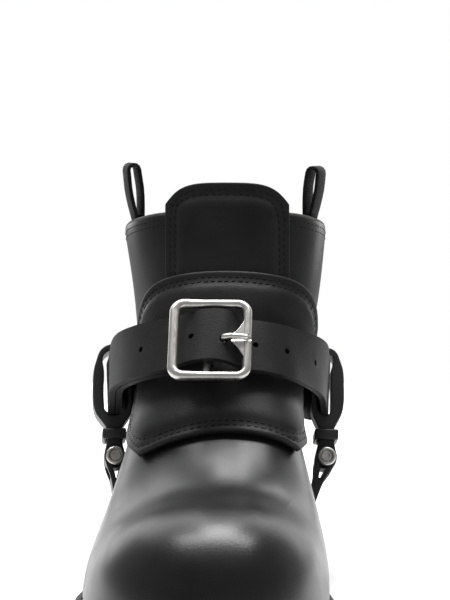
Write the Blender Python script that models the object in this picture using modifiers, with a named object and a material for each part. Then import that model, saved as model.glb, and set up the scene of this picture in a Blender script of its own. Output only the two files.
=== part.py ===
"""Right-foot harness ankle boot: a pull-on leather upper on a welted sole with a block heel.

Run with: blender --background --python part.py
Sizes are in millimetres and MM turns them into metres. A station is the distance from the upper's toe
tip towards the heel. +Z is up, the toe points to -Y, the inner side of the foot is +X, and the origin is
on the floor under the middle of the boot.
"""

import math
from collections import namedtuple

import bmesh
import bpy
import numpy as np
from mathutils import Matrix, Vector

MM = 0.001
GAP = 0.3
SOLE_GAP = 0.6

# Driving sizes of the last and the sole
UPPER_LENGTH = 290.0
TOE_X = 7.0
TOE_POWER = 2.35
HEEL_POWER = 2.3
WALL = 2.4
SOLE_MARGIN = 5.0
OUTSOLE_THICK = 5.5
WELT_THICK = 3.6
INSOLE_THICK = 3.5
BALL_FEATHER = OUTSOLE_THICK + WELT_THICK + GAP + SOLE_GAP
HEEL_SEAT = 38.0
HEEL_SEAT_RISE = 2.0
TOE_SPRING = 9.0
SPRING_END, SHANK_START, SHANK_END = 80.0, 120.0, 226.0
HEEL_BREAST = 219.0
HEEL_TAPER = 3.0
BREAST_HOLLOW = 5.0

# The upper's dome: height of its widest line over the feather edge, and how far it tucks in below that
BULGE_HEIGHT = 12.0
TUCK = 0.06
TOE_BOX = 46.0
TOE_TOP = 69.0
TOE_PROFILE_POWER = 2.5
SHAFT_POWER = 2.25
INSTEP_BLEND, ANKLE_BLEND = 34.0, 9.0
INSTEP_END, ANKLE_START = 158.0, 205.0

# Where the pieces sit across the boot
ORIGIN_STATION = 144.43
ORIGIN_X = -0.796

Plan = namedtuple("Plan", "station breadth")
OUTER_PLAN = [Plan(106, 54.5), Plan(148, 46.5), Plan(185, 41.0), Plan(247, 36.0)]
INNER_PLAN = [Plan(88, 50.5), Plan(172, 37.0), Plan(247, 35.0)]

Vamp = namedtuple("Vamp", "station ridge_z ridge_x outer_power inner_power")
VAMP = [
    Vamp(0, 0, 7.0, 2.2, 2.2),
    Vamp(TOE_BOX, TOE_TOP, 6.5, 2.4, 2.5),
    Vamp(74, 67.5, 6.2, 1.85, 2.3),
    Vamp(95, 76.5, 6.0, 1.62, 2.3),
    Vamp(112, 89.0, 5.8, 1.6, 2.3),
    Vamp(132, 107.0, 5.4, 1.72, 2.3),
    Vamp(160, 115.0, 5.0, 2.0, 2.4),
    Vamp(230, 100.0, 3.0, 2.3, 2.4),
    Vamp(UPPER_LENGTH, 60.0, 0.0, 2.2, 2.2),
]

Shaft = namedtuple("Shaft", "z front back outer inner")
SHAFT = [
    Shaft(36, 172, 287.0, 33.0, 32.0),
    Shaft(60, 166, 288.5, 36.5, 36.0),
    Shaft(85, 158, 286.5, 39.5, 40.0),
    Shaft(108, 153, 283.0, 39.5, 43.5),
    Shaft(132, 157, 281.5, 41.5, 47.5),
    Shaft(156, 164, 282.5, 45.5, 50.0),
    Shaft(178, 169, 285.0, 49.0, 52.0),
    Shaft(205, 174, 288.0, 51.5, 54.0),
]
SHAFT_FRONT_X = 4.8

Collar = namedtuple("Collar", "station z")
COLLAR = [Collar(165, 173.5), Collar(195, 167.0), Collar(228, 159.5), Collar(286, 155)]

RINGS = 21
AROUND = 52

# Front panels, measured along the front line from the toe feather edge
PANEL_THICK = 2.8
PANEL_UNDERLAP = 16.0
PANEL_RISE = 11.5
PANEL_HALF_ANGLE = 40.0
SHIELD_EDGE_THICK = 2.6
SHIELD_THICK = 4.0
SHIELD_LOW_STATION = 105.0
SHIELD_LENGTH = 84.0
SHIELD_ANGLES = (48.0, 79.0, 76.0)
SHIELD_LOW_ARCH = 0.0
SHIELD_LOW_TURN = 5.0
SHIELD_TOP_ROUND = 17.0
SHIELD_BORDER = 0.12
FAN_DEPTH = 40.0

# Harness strap
STRAP_WIDTH = 25.0
STRAP_THICK = 2.8
STRAP_AXIS_X, STRAP_AXIS_STATION = 2.0, 214.0
STRAP_TILT = 0.26
TAIL_ANGLE = -97.0
LAP_ANGLE = 246.0
Strap = namedtuple("Strap", "angle z stand_off")
STRAP = [
    Strap(0, 111.0, 10.9),
    Strap(30, 104.0, 10.6),
    Strap(55, 92.5, 9.2),
    Strap(80, 83.0, 9.5),
    Strap(110, 78.0, 4.8),
    Strap(140, 75.5, 3.2),
    Strap(180, 74.0, 2.3),
]

# Buckle
BUCKLE_ANGLE = 0.0
BUCKLE_YAW = 9.0
BUCKLE_DROP = 1.6
FRAME_WIDTH, FRAME_HEIGHT, FRAME_CORNER = 31.5, 35.4, 4.4
FRAME_RADIUS = 1.9
BAR_RADIUS = 1.6
FOLD_THICK = 1.4
PRONG_RADIUS = 1.5

# Side straps, bars and stirrups
SIDE_ANGLE = 80.0
SIDE_WIDTH = 15.0
SIDE_THICK = 2.6
BAR_DROP = 32.5
BOLT_RADIUS, BOLT_HEAD_RADIUS, BOLT_HEAD = 2.5, 4.3, 2.2
STIRRUP_WIDTH = 22.0
STIRRUP_THICK = 2.2
NECK_HEIGHT = 5.0
NECK_THICK = 1.8

# Pull loops
LOOP_WIDTH = 10.0
LOOP_TOPS = (36.0, 33.0)
LOOP_THICK = 1.7
LOOP_TAIL = 12.0
LOOP_STATIONS = (203.0, 194.0)

OUTER, INNER = -1, 1


# Curves and tables
def column(rows, name):
    return np.array([getattr(row, name) for row in rows], float)


def through(rows, along, name, at):
    """Smooth curve through one column of a table, level at both ends."""
    x, y = column(rows, along), column(rows, name)
    slope = np.zeros_like(y)
    slope[1:-1] = (y[2:] - y[:-2]) / (x[2:] - x[:-2])
    at = np.clip(at, x[0], x[-1])
    i = np.clip(np.searchsorted(x, at, side="right") - 1, 0, len(x) - 2)
    step = x[i + 1] - x[i]
    t = (at - x[i]) / step
    start = y[i] * (1 + 2 * t) * (1 - t) ** 2 + slope[i] * step * t * (1 - t) ** 2
    end = y[i + 1] * t**2 * (3 - 2 * t) + slope[i + 1] * step * t**2 * (t - 1)
    return start + end


def ease(value, low, high):
    """0 below low, 1 above high, smooth between."""
    t = np.clip((value - low) / (high - low), 0, 1)
    return t * t * (3 - 2 * t)


def unit(vectors):
    return vectors / np.linalg.norm(vectors, axis=-1, keepdims=True)


# The last
def feather(station):
    """Height of the feather edge, where the upper meets the welt."""
    spring = TOE_SPRING * (np.clip(SPRING_END - station, 0, None) / SPRING_END) ** 1.8
    shank = (HEEL_SEAT - BALL_FEATHER) * ease(station, SHANK_START, SHANK_END)
    seat = HEEL_SEAT_RISE * ease(station, SHANK_END, UPPER_LENGTH)
    return BALL_FEATHER + spring + shank + seat


def breadth(station, side, grow=0.0):
    """Distance from the heel's centre line to the outline on one side: round toe, waist and round heel."""
    rows = OUTER_PLAN if side == OUTER else INNER_PLAN
    ball, heel = rows[0], rows[-1]
    toe = side * TOE_X
    t = np.clip((ball.station - station) / (ball.station + grow), 0, 1)
    front = toe + (ball.breadth + grow - toe) * (1 - t**TOE_POWER) ** (1 / TOE_POWER)
    t = np.clip((station - heel.station) / (UPPER_LENGTH + grow - heel.station), 0, 1)
    back = (heel.breadth + grow) * (1 - t**HEEL_POWER) ** (1 / HEEL_POWER)
    middle = through(rows, "station", "breadth", station) + grow
    return np.where(station < ball.station, front, np.where(station > heel.station, back, middle))


def ridge_height(station):
    """Height of the foot's top line: a round toe box, then the rise to the instep."""
    tip = feather(0.0) + BULGE_HEIGHT
    t = np.clip((TOE_BOX - station) / TOE_BOX, 0, 1)
    toe = tip + (TOE_TOP - tip) * (1 - t**TOE_PROFILE_POWER) ** (1 / TOE_PROFILE_POWER)
    return np.where(station < TOE_BOX, toe, through(VAMP[1:], "station", "ridge_z", station))


def radial(u, v, power, reach):
    """Distance past a rounded section whose edge is where the power sum of u and v is 1."""
    n = (np.abs(u) ** power + np.abs(v) ** power) ** (1 / power)
    return (n - 1) * (reach + 1e-3) / (n + 1e-5)


def foot_field(x, station, z):
    """Distance outside the foot part, from its upright cross-sections."""
    ridge_x = through(VAMP, "station", "ridge_x", station)
    edge = np.where(x >= ridge_x, breadth(station, INNER) - ridge_x, breadth(station, OUTER) + ridge_x)
    widest = feather(station) + BULGE_HEIGHT
    rise = np.maximum(ridge_height(station) - widest, 0.05)
    outer, inner = (through(VAMP, "station", name, station) for name in ("outer_power", "inner_power"))
    power = np.where(x >= ridge_x, inner, outer)
    tuck = (1 - (1 - TUCK) ** power) ** (1 / power)
    v = np.where(z >= widest, (z - widest) / rise, tuck * (widest - z) / BULGE_HEIGHT)
    u = (x - ridge_x) / np.maximum(edge, 0.05)
    section = radial(u, v, power, np.hypot(x - ridge_x, z - widest))
    tucked = 1 + TUCK * np.clip((widest - z) / BULGE_HEIGHT, 0, 1.5) ** 2
    return np.maximum(section, np.maximum(toe_field(x, station, tucked), heel_field(x, station, tucked)))


def toe_field(x, station, tucked):
    """Distance outside the toe's round plan."""
    across = x - TOE_X
    ball = np.where(across > 0, INNER_PLAN[0].station, OUTER_PLAN[0].station)
    half = np.where(across > 0, INNER_PLAN[0].breadth - TOE_X, OUTER_PLAN[0].breadth + TOE_X)
    ahead = np.clip(ball - station, 0, None)
    return radial(tucked * across / half, tucked * ahead / ball, TOE_POWER, np.hypot(across, ahead))


def heel_field(x, station, tucked):
    """Distance outside the heel's round plan."""
    half = np.where(x > 0, INNER_PLAN[-1].breadth, OUTER_PLAN[-1].breadth)
    behind = np.clip(station - OUTER_PLAN[-1].station, 0, None)
    length = UPPER_LENGTH - OUTER_PLAN[-1].station
    return np.where(
        behind > 0, radial(tucked * x / half, tucked * behind / length, HEEL_POWER, np.hypot(x, behind)), -50.0
    )


def shaft_field(x, station, z):
    """Distance outside the shaft, from its level cross-sections."""
    front, back = through(SHAFT, "z", "front", z), through(SHAFT, "z", "back", z)
    middle = (front + back) / 2
    ahead = np.clip((middle - station) / (middle - front), 0, 1)
    across = x - SHAFT_FRONT_X * ahead
    half = np.where(across > 0, through(SHAFT, "z", "inner", z), through(SHAFT, "z", "outer", z))
    v = (station - middle) / ((back - front) / 2)
    return radial(across / half, v, SHAFT_POWER, np.hypot(across, station - middle))


def boot_field(points):
    """Distance outside the upper's outer face: foot and shaft joined by a soft instep."""
    x, station, z = points[..., 0], points[..., 1], points[..., 2]
    a, b = foot_field(x, station, z), shaft_field(x, station, z)
    k = INSTEP_BLEND + (ANKLE_BLEND - INSTEP_BLEND) * ease(station, INSTEP_END, ANKLE_START)
    h = np.clip(0.5 + 0.5 * (b - a) / k, 0, 1)
    return b + (a - b) * h - k * h * (1 - h)


def slope_of(points, step=0.4):
    """Gradient of boot_field."""
    parts = []
    for axis in range(3):
        move = np.zeros(3)
        move[axis] = step
        parts.append((boot_field(points + move) - boot_field(points - move)) / (2 * step))
    return np.stack(parts, axis=-1)


def normal_at(points):
    return unit(slope_of(points))


def cast(origin, direction, reach=170.0, steps=86):
    """Where rays that start inside the boot leave it."""
    t = np.linspace(0, reach, steps)
    values = boot_field(origin[None] + direction[None] * t[:, None, None])
    j = np.clip(np.argmax(values > 0, axis=0), 1, None)
    low, high = t[j - 1], t[j]
    for _ in range(30):
        mid = (low + high) / 2
        out = boot_field(origin + direction * mid[:, None]) > 0
        low, high = np.where(out, low, mid), np.where(out, mid, high)
    return origin + direction * low[:, None]


def climb(start, turn, top, step=2.0):
    """Points and normals up a line on the upper: turn is -1 along the front ridge and 1 up the heel."""
    path, normals = [], []
    point = np.array(start, float)
    while point[2] < top and len(path) < 400:
        for _ in range(4):
            grad = slope_of(point)
            grad[0] = 0
            point = point - grad * boot_field(point) / (grad @ grad)
        grad = unit(grad)
        path.append(point.copy())
        normals.append(grad)
        point = point + step * np.array([0, -turn * grad[2], turn * grad[1]])
        ridge = through(VAMP, "station", "ridge_x", point[1]) if turn < 0 else 0.0
        point[0] = ridge
    path = np.array(path)
    arc = np.concatenate([[0], np.cumsum(np.linalg.norm(np.diff(path, axis=0), axis=1))])
    return arc, path, np.array(normals)


def read(line, at):
    """Point and normal at a length along a climbed line."""
    arc, path, normals = line
    point = np.stack([np.interp(at, arc, path[:, i]) for i in range(3)], axis=-1)
    normal = np.stack([np.interp(at, arc, normals[:, i]) for i in range(3)], axis=-1)
    return point, unit(normal)


def collar_height(station):
    return through(COLLAR, "station", "z", station)


def collar_arc(line):
    """Length along a climbed line at which it meets the collar."""
    arc, path, _ = line
    return arc[np.argmax(path[:, 2] > collar_height(path[:, 1]))]


FRONT_TOP = 204.0
FRONT = climb([TOE_X, 3.0, feather(0.0)], -1, FRONT_TOP)
BACK = climb([0.0, UPPER_LENGTH - 3.0, feather(UPPER_LENGTH)], 1, 175.0)
FRONT_COLLAR, BACK_COLLAR = collar_arc(FRONT), collar_arc(BACK)


def ring(share, angles):
    """One closed line round the upper; share is 0 at the feather edge and 1 at the collar."""
    front, ahead = read(FRONT, share * FRONT_COLLAR)
    back, behind = read(BACK, share * BACK_COLLAR)
    depth_front, depth_back = 24 + 22 * share, 32 + 14 * share
    start, end = front - ahead * depth_front, back - behind * depth_back
    way = ((1 - np.cos(angles)) / 2)[:, None]
    origin = start + (end - start) * way
    level = feather(0.0) + (feather(UPPER_LENGTH) - feather(0.0)) * origin[:, 1] / UPPER_LENGTH
    origin[:, 2] += (feather(origin[:, 1]) - level) * (1 - share) ** 1.5
    fore, aft = np.clip(np.cos(angles), 0, 1), np.clip(-np.cos(angles), 0, 1)
    side = np.sin(angles)[:, None] * np.array([1.0, 0, 0])
    direction = unit(fore[:, None] * ahead + aft[:, None] * behind + side)
    edge = {0.0: feather, 1.0: collar_height}.get(share)
    if edge is None:
        return cast(origin, direction)
    direction[:, 2] = 0
    direction = unit(direction)
    found = origin
    for _ in range(5):
        origin[:, 2] = edge(found[:, 1])
        found = cast(origin, direction)
    found[:, 2] = edge(found[:, 1])
    return found


# Scene helpers
def clear_scene():
    for obj in list(bpy.data.objects):
        bpy.data.objects.remove(obj)


def new_collection(name):
    made = bpy.data.collections.new(name)
    bpy.context.scene.collection.children.link(made)
    return made


def new_material(name, colour, roughness, metallic=0.0):
    made = bpy.data.materials.new(name)
    made.use_nodes = True
    shader = made.node_tree.nodes["Principled BSDF"]
    shader.inputs["Base Color"].default_value = (*colour, 1)
    shader.inputs["Roughness"].default_value = roughness
    shader.inputs["Metallic"].default_value = metallic
    return made


def placed(points):
    """Shoe sizes (x, station, z) in millimetres to metres in the boot's frame."""
    return (np.asarray(points, float) - [ORIGIN_X, ORIGIN_STATION, 0.0]) * MM


def add_object(name, data, material, collection, matrix=None):
    data.materials.append(material)
    obj = bpy.data.objects.new(name, data)
    collection.objects.link(obj)
    if matrix is not None:
        obj.matrix_world = matrix
    return obj


def grid_mesh(name, rows, closed_across=False, closed_along=False):
    """Quad mesh over rows of points, each row the same length."""
    rows = placed(rows)
    count, width = rows.shape[0], rows.shape[1]
    mesh = bmesh.new()
    verts = [[mesh.verts.new(p) for p in row] for row in rows]
    for i in range(count - (0 if closed_along else 1)):
        for j in range(width - (0 if closed_across else 1)):
            a, b = verts[i], verts[(i + 1) % count]
            mesh.faces.new((a[j], a[(j + 1) % width], b[(j + 1) % width], b[j]))
    data = bpy.data.meshes.new(name)
    mesh.to_mesh(data)
    mesh.free()
    data.shade_smooth()
    return data


def tube_mesh(name, rows, closed=False):
    """Solid swept through rows of corner points: capped at both ends, or joined into a ring."""
    data = grid_mesh(name, rows, closed_across=True, closed_along=closed)
    mesh = bmesh.new()
    mesh.from_mesh(data)
    if not closed:
        mesh.verts.ensure_lookup_table()
        width = len(rows[0])
        mesh.faces.new(mesh.verts[:width])
        mesh.faces.new(mesh.verts[-width:])
    bmesh.ops.recalc_face_normals(mesh, faces=mesh.faces)
    mesh.to_mesh(data)
    mesh.free()
    data.shade_smooth()
    data.set_sharp_from_angle(angle=math.radians(35))
    return data


def thicken(obj, thick, offset, group=None, least=1.0):
    """Solidify in millimetres: offset -1 grows inwards and 1 outwards."""
    made = obj.modifiers.new("wall", "SOLIDIFY")
    made.thickness = thick * MM
    made.offset = offset
    made.use_even_offset = False
    if group:
        made.vertex_group = group
        made.thickness_vertex_group = least
    return obj


def boolean(obj, other, operation):
    made = obj.modifiers.new(operation.lower(), "BOOLEAN")
    made.operation = operation
    made.object = other
    return obj


def as_cutter(obj):
    obj.hide_render = True
    obj.display_type = "WIRE"
    return obj


def meshed(obj, name, material, collection):
    """A curve object turned into a welded mesh object at the same place."""
    graph = bpy.context.evaluated_depsgraph_get()
    data = bpy.data.meshes.new_from_object(obj.evaluated_get(graph))
    data.materials.clear()
    mesh = bmesh.new()
    mesh.from_mesh(data)
    bmesh.ops.remove_doubles(mesh, verts=mesh.verts, dist=1e-6)
    bmesh.ops.recalc_face_normals(mesh, faces=mesh.faces)
    mesh.to_mesh(data)
    mesh.free()
    data.name = name
    matrix = obj.matrix_world.copy()
    bpy.data.objects.remove(obj)
    return add_object(name, data, material, collection, matrix)


def flat_solid(name, outlines, width, material, collection, matrix):
    """A flat outline, with any holes after it, extruded to a width along its local Z."""
    data = bpy.data.curves.new(name, "CURVE")
    data.dimensions = "2D"
    data.fill_mode = "BOTH"
    data.extrude = width / 2 * MM
    for outline in outlines:
        spline = data.splines.new("POLY")
        spline.points.add(len(outline) - 1)
        for point, (x, y) in zip(spline.points, outline):
            point.co = (x * MM, y * MM, 0, 1)
        spline.use_cyclic_u = True
    obj = add_object(name + "_flat", data, material, collection, matrix)
    bpy.context.view_layer.update()
    return meshed(obj, name, material, collection)


def box_between(name, low, high, collection, matrix):
    """A cutter box from two corners in millimetres of a local frame."""
    low, high = np.array(low, float), np.array(high, float)
    mesh = bmesh.new()
    bmesh.ops.create_cube(mesh, size=1.0)
    for vert in mesh.verts:
        vert.co = Vector(((low + high) / 2 + np.array(vert.co) * (high - low)) * MM)
    data = bpy.data.meshes.new(name)
    mesh.to_mesh(data)
    mesh.free()
    obj = bpy.data.objects.new(name, data)
    collection.objects.link(obj)
    obj.matrix_world = matrix
    return as_cutter(obj)


def rod_mesh(name, radius, length, segments=16):
    """Round bar along Z, centred."""
    mesh = bmesh.new()
    bmesh.ops.create_cone(
        mesh, cap_ends=True, segments=segments, radius1=radius * MM, radius2=radius * MM, depth=length * MM
    )
    data = bpy.data.meshes.new(name)
    mesh.to_mesh(data)
    mesh.free()
    data.shade_smooth()
    data.set_sharp_from_angle(angle=math.radians(35))
    return data


def frame_matrix(origin, across, up, out):
    """Local frame from shoe sizes and three unit directions (station runs along +Y)."""
    made = Matrix.Identity(4)
    for i, axis in enumerate((across, up, out)):
        for j in range(3):
            made[j][i] = axis[j]
    for j, value in enumerate(placed(origin)):
        made[j][3] = value
    return made


def lobed(rows, start, end, inset=0.0, side_count=9, cap_count=7):
    """Outline of a strap seen edge on: half-breadths along an axis, closed by round ends."""
    reach = np.linspace(start, end, side_count)
    half = through(rows, "along", "half", reach) - inset
    cap = np.linspace(0, np.pi, cap_count)[1:-1]
    right = np.column_stack([half, reach])
    top = np.column_stack([half[-1] * np.cos(cap), end + half[-1] * np.sin(cap)])
    left = np.column_stack([-half[::-1], reach[::-1]])
    foot = np.column_stack([-half[0] * np.cos(cap), start - half[0] * np.sin(cap)])
    return np.vstack([right, top, left, foot])


# Upper and sole
def make_upper(leather, parts):
    angles = np.arange(AROUND) * 2 * np.pi / AROUND
    rows = [ring(k / RINGS, angles) for k in range(RINGS + 1)]
    obj = add_object("upper", grid_mesh("upper", rows, closed_across=True), leather, parts)
    return thicken(obj, WALL, -1)


def plan_rows(grow, count, first=None):
    """Stations and the two sides of the plan, close together at the round ends."""
    first = -grow if first is None else first
    share = (1 - np.cos(np.linspace(0.02, np.pi - 0.02, count))) / 2
    station = first + (UPPER_LENGTH + grow - first) * share
    return station, -breadth(station, OUTER, grow), breadth(station, INNER, grow)


def layer(name, edges, top, thick, material, parts):
    """A layer of the sole: a sheet that follows the feather line between two edges, thickened downwards."""
    across = np.linspace(0, 1, 3)[:, None]
    rows = []
    for near, far in zip(*edges):
        row = near + (far - near) * across
        row[:, 2] = feather(row[:, 1]) + top
        rows.append(row)
    obj = add_object(name, grid_mesh(name, rows), material, parts)
    return thicken(obj, thick, -1)


def make_outsole(rubber, parts):
    station, outer, inner = plan_rows(SOLE_MARGIN, 40)
    flat = np.zeros_like(station)
    edges = np.column_stack([outer, station, flat]), np.column_stack([inner, station, flat])
    return layer("outsole", edges, -(WELT_THICK + GAP + SOLE_GAP), OUTSOLE_THICK, rubber, parts)


def make_insole(lining, parts):
    """Insole board that fills the upper's open bottom inside its wall."""
    turn = np.linspace(0, np.pi, 34)[1:-1]
    edges = []
    for angles in (-turn, turn):
        rim = ring(0.0, angles)
        out = normal_at(rim) * [1, 1, 0]
        edges.append(rim - unit(out) * (WALL + 1.0))
    return layer("insole", edges, INSOLE_THICK + 2 * GAP, INSOLE_THICK, lining, parts)


def make_welt(material, parts):
    """Flat strip all round the feather edge, under the upper's wall and out past it."""
    loops = []
    for grow in (SOLE_MARGIN, -13.0):
        station, outer, inner = plan_rows(grow, 40)
        x = np.concatenate([outer, inner[::-1]])
        s = np.concatenate([station, station[::-1]])
        loops.append(np.column_stack([x, s, feather(s) - GAP - 0.2]))
    out, within = loops
    drop = np.array([0, 0, WELT_THICK - 0.2])
    rows = np.stack([out, within, within - drop, out - drop], axis=1)
    add_object("welt", tube_mesh("welt", rows, closed=True), material, parts)


def make_heel(material, parts):
    """Block from the floor to the outsole, tapered down, with a hollowed breast."""
    count, across = 18, np.linspace(0, 1, 5)
    under = -(WELT_THICK + OUTSOLE_THICK + GAP + 2 * SOLE_GAP)
    sheets = []
    for grow, floor in ((SOLE_MARGIN - HEEL_TAPER, True), (SOLE_MARGIN - GAP, False)):
        station, outer, inner = plan_rows(grow, count, HEEL_BREAST)
        hollow = BREAST_HOLLOW * (1 - (2 * across - 1) ** 2)
        fade = 1 - np.linspace(0, 1, count)
        sheet = []
        for s, o, i, f in zip(station, outer, inner, fade):
            rear = s - hollow * f
            height = np.zeros(5) if floor else feather(rear) + under
            sheet.append(np.column_stack([o + (i - o) * across, rear, height]))
        sheets.append(sheet)
    rows = [np.vstack([low, high[::-1]]) for low, high in zip(*sheets)]
    add_object("heel", tube_mesh("heel", rows), material, parts)


# Front panels
def fan(arc, angle):
    """Points and normals on the upper, fanned out from the front line at an angle in degrees."""
    point, ahead = read(FRONT, arc)
    turn = np.radians(angle)[..., None]
    origin = (point - ahead * FAN_DEPTH).reshape(-1, 3)
    direction = (np.cos(turn) * ahead + np.sin(turn) * np.array([1.0, 0, 0])).reshape(-1, 3)
    found = cast(origin, unit(direction))
    shape = (*np.shape(angle), 3)
    return found.reshape(shape), normal_at(found).reshape(shape)


def arc_at_station(station):
    """Length along the front line where its top reaches a station."""
    arc, path, _ = FRONT
    top = np.argmax(path[:, 2] > TOE_TOP - 2)
    return np.interp(station, path[top:, 1], arc[top:])


SHIELD_LOW = arc_at_station(SHIELD_LOW_STATION)
SHIELD_TOP = SHIELD_LOW + SHIELD_LENGTH
PANEL_LOW = SHIELD_TOP - PANEL_UNDERLAP
PANEL_TOP = FRONT_COLLAR + PANEL_RISE


def make_tongue_panel(leather, parts):
    """Stiff front panel of the shaft, standing above the collar, with rounded top corners."""
    v, u = np.meshgrid(np.linspace(0, 1, 10), np.linspace(-1, 1, 13), indexing="ij")
    top = PANEL_TOP - 9.0 * np.abs(u) ** 5
    arc = PANEL_LOW + (top - PANEL_LOW) * v
    angle = u * PANEL_HALF_ANGLE * (1 - 0.03 * v)
    points, normals = fan(arc, angle)
    obj = add_object(
        "tongue_panel", grid_mesh("tongue_panel", points + normals * 0.5), leather, parts
    )
    return thicken(obj, PANEL_THICK, 1)


def shield_grid(v_count, u_count):
    v, u = np.meshgrid(np.linspace(0, 1, v_count), np.linspace(-1, 1, u_count), indexing="ij")
    low_angle, mid_angle, top_angle = SHIELD_ANGLES
    angle = low_angle + (mid_angle - low_angle) * ease(v, -0.1, 0.4) - (mid_angle - top_angle) * ease(v, 0.6, 1)
    low = SHIELD_LOW + SHIELD_LOW_ARCH * u**2
    top = SHIELD_TOP - SHIELD_TOP_ROUND * np.abs(u) ** 4.5
    turn = SHIELD_LOW_TURN * (1 - ease(v, 0, 0.7))
    return low + (top - low) * v, u * angle - turn, u, v


def shield_lift(arc):
    """Height of the shield's inner face over the upper: it rides up on the tongue panel."""
    return 0.75 + (PANEL_THICK + 0.4) * ease(arc, PANEL_LOW - 14.0, PANEL_LOW - 2.0)


def make_shield(leather, parts):
    """Padded instep shield with a flat sewn border."""
    arc, angle, u, v = shield_grid(15, 17)
    points, normals = fan(arc, angle)
    obj = add_object("shield", grid_mesh("shield", points + normals * shield_lift(arc)[..., None]), leather, parts)
    border = np.minimum(1 - np.abs(u), 2 * np.minimum(v, 1 - v))
    pad = ease(border, 0.5 * SHIELD_BORDER, 1.6 * SHIELD_BORDER).ravel()
    group = obj.vertex_groups.new(name="pad")
    for i, weight in enumerate(pad):
        group.add([i], float(weight), "REPLACE")
    return thicken(obj, SHIELD_THICK, 1, "pad", SHIELD_EDGE_THICK / SHIELD_THICK)


# Harness strap
def strap_base(angle):
    """Points on the upper under the strap's middle, with along, up and out directions."""
    def spot(turn):
        folded = np.abs((turn + 180) % 360 - 180)
        z = through(STRAP, "angle", "z", folded)
        origin = np.column_stack([np.full_like(z, STRAP_AXIS_X), np.full_like(z, STRAP_AXIS_STATION), z])
        rad = np.radians(turn)
        direction = np.column_stack([np.sin(rad), -np.cos(rad), np.zeros_like(z)])
        return cast(origin, direction)

    angle = np.atleast_1d(np.asarray(angle, float))
    found = spot(angle)
    along = unit(spot(angle + 1.0) - spot(angle - 1.0))
    out = normal_at(found)
    folded = np.abs((angle + 180) % 360 - 180)
    upright = STRAP_TILT + (1 - STRAP_TILT) * ease(folded, 20.0, 58.0)
    out[:, 2] *= 1 - upright * (1 - ease(folded, 105.0, 140.0))
    up = unit(np.cross(out, along))
    out = unit(np.cross(along, up))
    return found, along, up, out


def stand_off(angle):
    folded = np.abs((np.asarray(angle, float) + 180) % 360 - 180)
    return through(STRAP, "angle", "stand_off", folded)


def buckle_frame():
    """The buckle's place: middle of the strap, along, up and out."""
    found, along, up, out = strap_base(BUCKLE_ANGLE)
    return found[0], along[0], up[0], out[0]


BUCKLE_BASE = float(stand_off(BUCKLE_ANGLE)[()])
BAR_HEIGHT = BUCKLE_BASE + FOLD_THICK + 5 * GAP + BAR_RADIUS
OVER_HEIGHT = BAR_HEIGHT + BAR_RADIUS + FOLD_THICK + 2 * GAP
FRAME_LEVEL = BUCKLE_BASE + 8.1


def strap_height(angle):
    """Inner face of the strap over the upper: tail above the lap, and a hump over the buckle's bar."""
    base = stand_off(angle)
    lap = (STRAP_THICK + 0.4) * (1 - ease(angle, BUCKLE_ANGLE + 2.5, BUCKLE_ANGLE + 8.5))
    hump_room = OVER_HEIGHT - BUCKLE_BASE - (STRAP_THICK + 0.4)
    reach = np.abs(angle - BUCKLE_ANGLE)
    hump = hump_room * (1 - ease(reach, 0.5, np.where(angle > BUCKLE_ANGLE, 7.0, 10.0)))
    return np.where(angle < LAP_ANGLE / 2, base + lap * (angle < 90) + hump, base)


def strap_rows():
    """Corner points of the strap from its tail, over the buckle and round the heel, back to the bar."""
    fine = np.linspace(BUCKLE_ANGLE - 15, BUCKLE_ANGLE + 18, 23)
    before = np.linspace(TAIL_ANGLE, fine[0], 20)[:-1]
    lap = np.concatenate([before, fine[fine < BUCKLE_ANGLE - 4]]) + 360
    around = np.linspace(fine[-1], lap[0], 38)[1:-1]
    angle = np.concatenate([before, fine, around, lap])
    base, along, up, out = strap_base(angle)
    height = strap_height(angle)
    thick = np.full_like(angle, STRAP_THICK)
    thick[-3:] = np.linspace(STRAP_THICK, FOLD_THICK, 3)
    inside = base + out * height[:, None]
    outside = base + out * (height + thick)[:, None]
    half = np.full_like(angle, STRAP_WIDTH / 2)
    half[:3] = STRAP_WIDTH / 2 * np.array([0.62, 0.88, 1.0])
    rows = np.stack(
        [inside - up * half[:, None], inside + up * half[:, None],
         outside + up * half[:, None], outside - up * half[:, None]], axis=1)
    return np.concatenate([rows, fold_rows()])


def fold_rows():
    """The strap's end, pared thin and folded up round the buckle's bar."""
    origin, along, up, out = buckle_frame()
    centre = origin + out * BAR_HEIGHT
    rows = []
    for turn in np.radians(np.linspace(-90, 95, 8)):
        away = along * math.cos(turn) + out * math.sin(turn)
        inner = centre + away * (BAR_RADIUS + GAP)
        outer = centre + away * (BAR_RADIUS + GAP + FOLD_THICK)
        half = up * (STRAP_WIDTH / 2)
        rows.append([outer - half, outer + half, inner + half, inner - half])
    return np.array(rows)


def make_strap(leather, parts, cutters):
    obj = add_object("harness_strap", tube_mesh("harness_strap", strap_rows()), leather, parts)
    matrix = buckle_matrix()
    slot = box_between("prong_slot", (-4, -2.4, BUCKLE_BASE - 1), (5, 2.4, OVER_HEIGHT - 1.2), cutters, matrix)
    boolean(obj, slot, "DIFFERENCE")
    root, bend, _ = prong_path()
    middle, length = (root + bend) / 2, np.linalg.norm(bend - root) + 3.0
    passage = bpy.data.objects.new("prong_passage", rod_mesh("prong_passage", PRONG_RADIUS + 0.4, length, 12))
    cutters.objects.link(passage)
    lean = math.atan2(bend[2] - root[2], bend[0] - root[0])
    passage.matrix_world = matrix @ Matrix.Translation(middle * MM) @ Matrix.Rotation(math.pi / 2 - lean, 4, "Y")
    boolean(obj, as_cutter(passage), "DIFFERENCE")
    return obj


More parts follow.
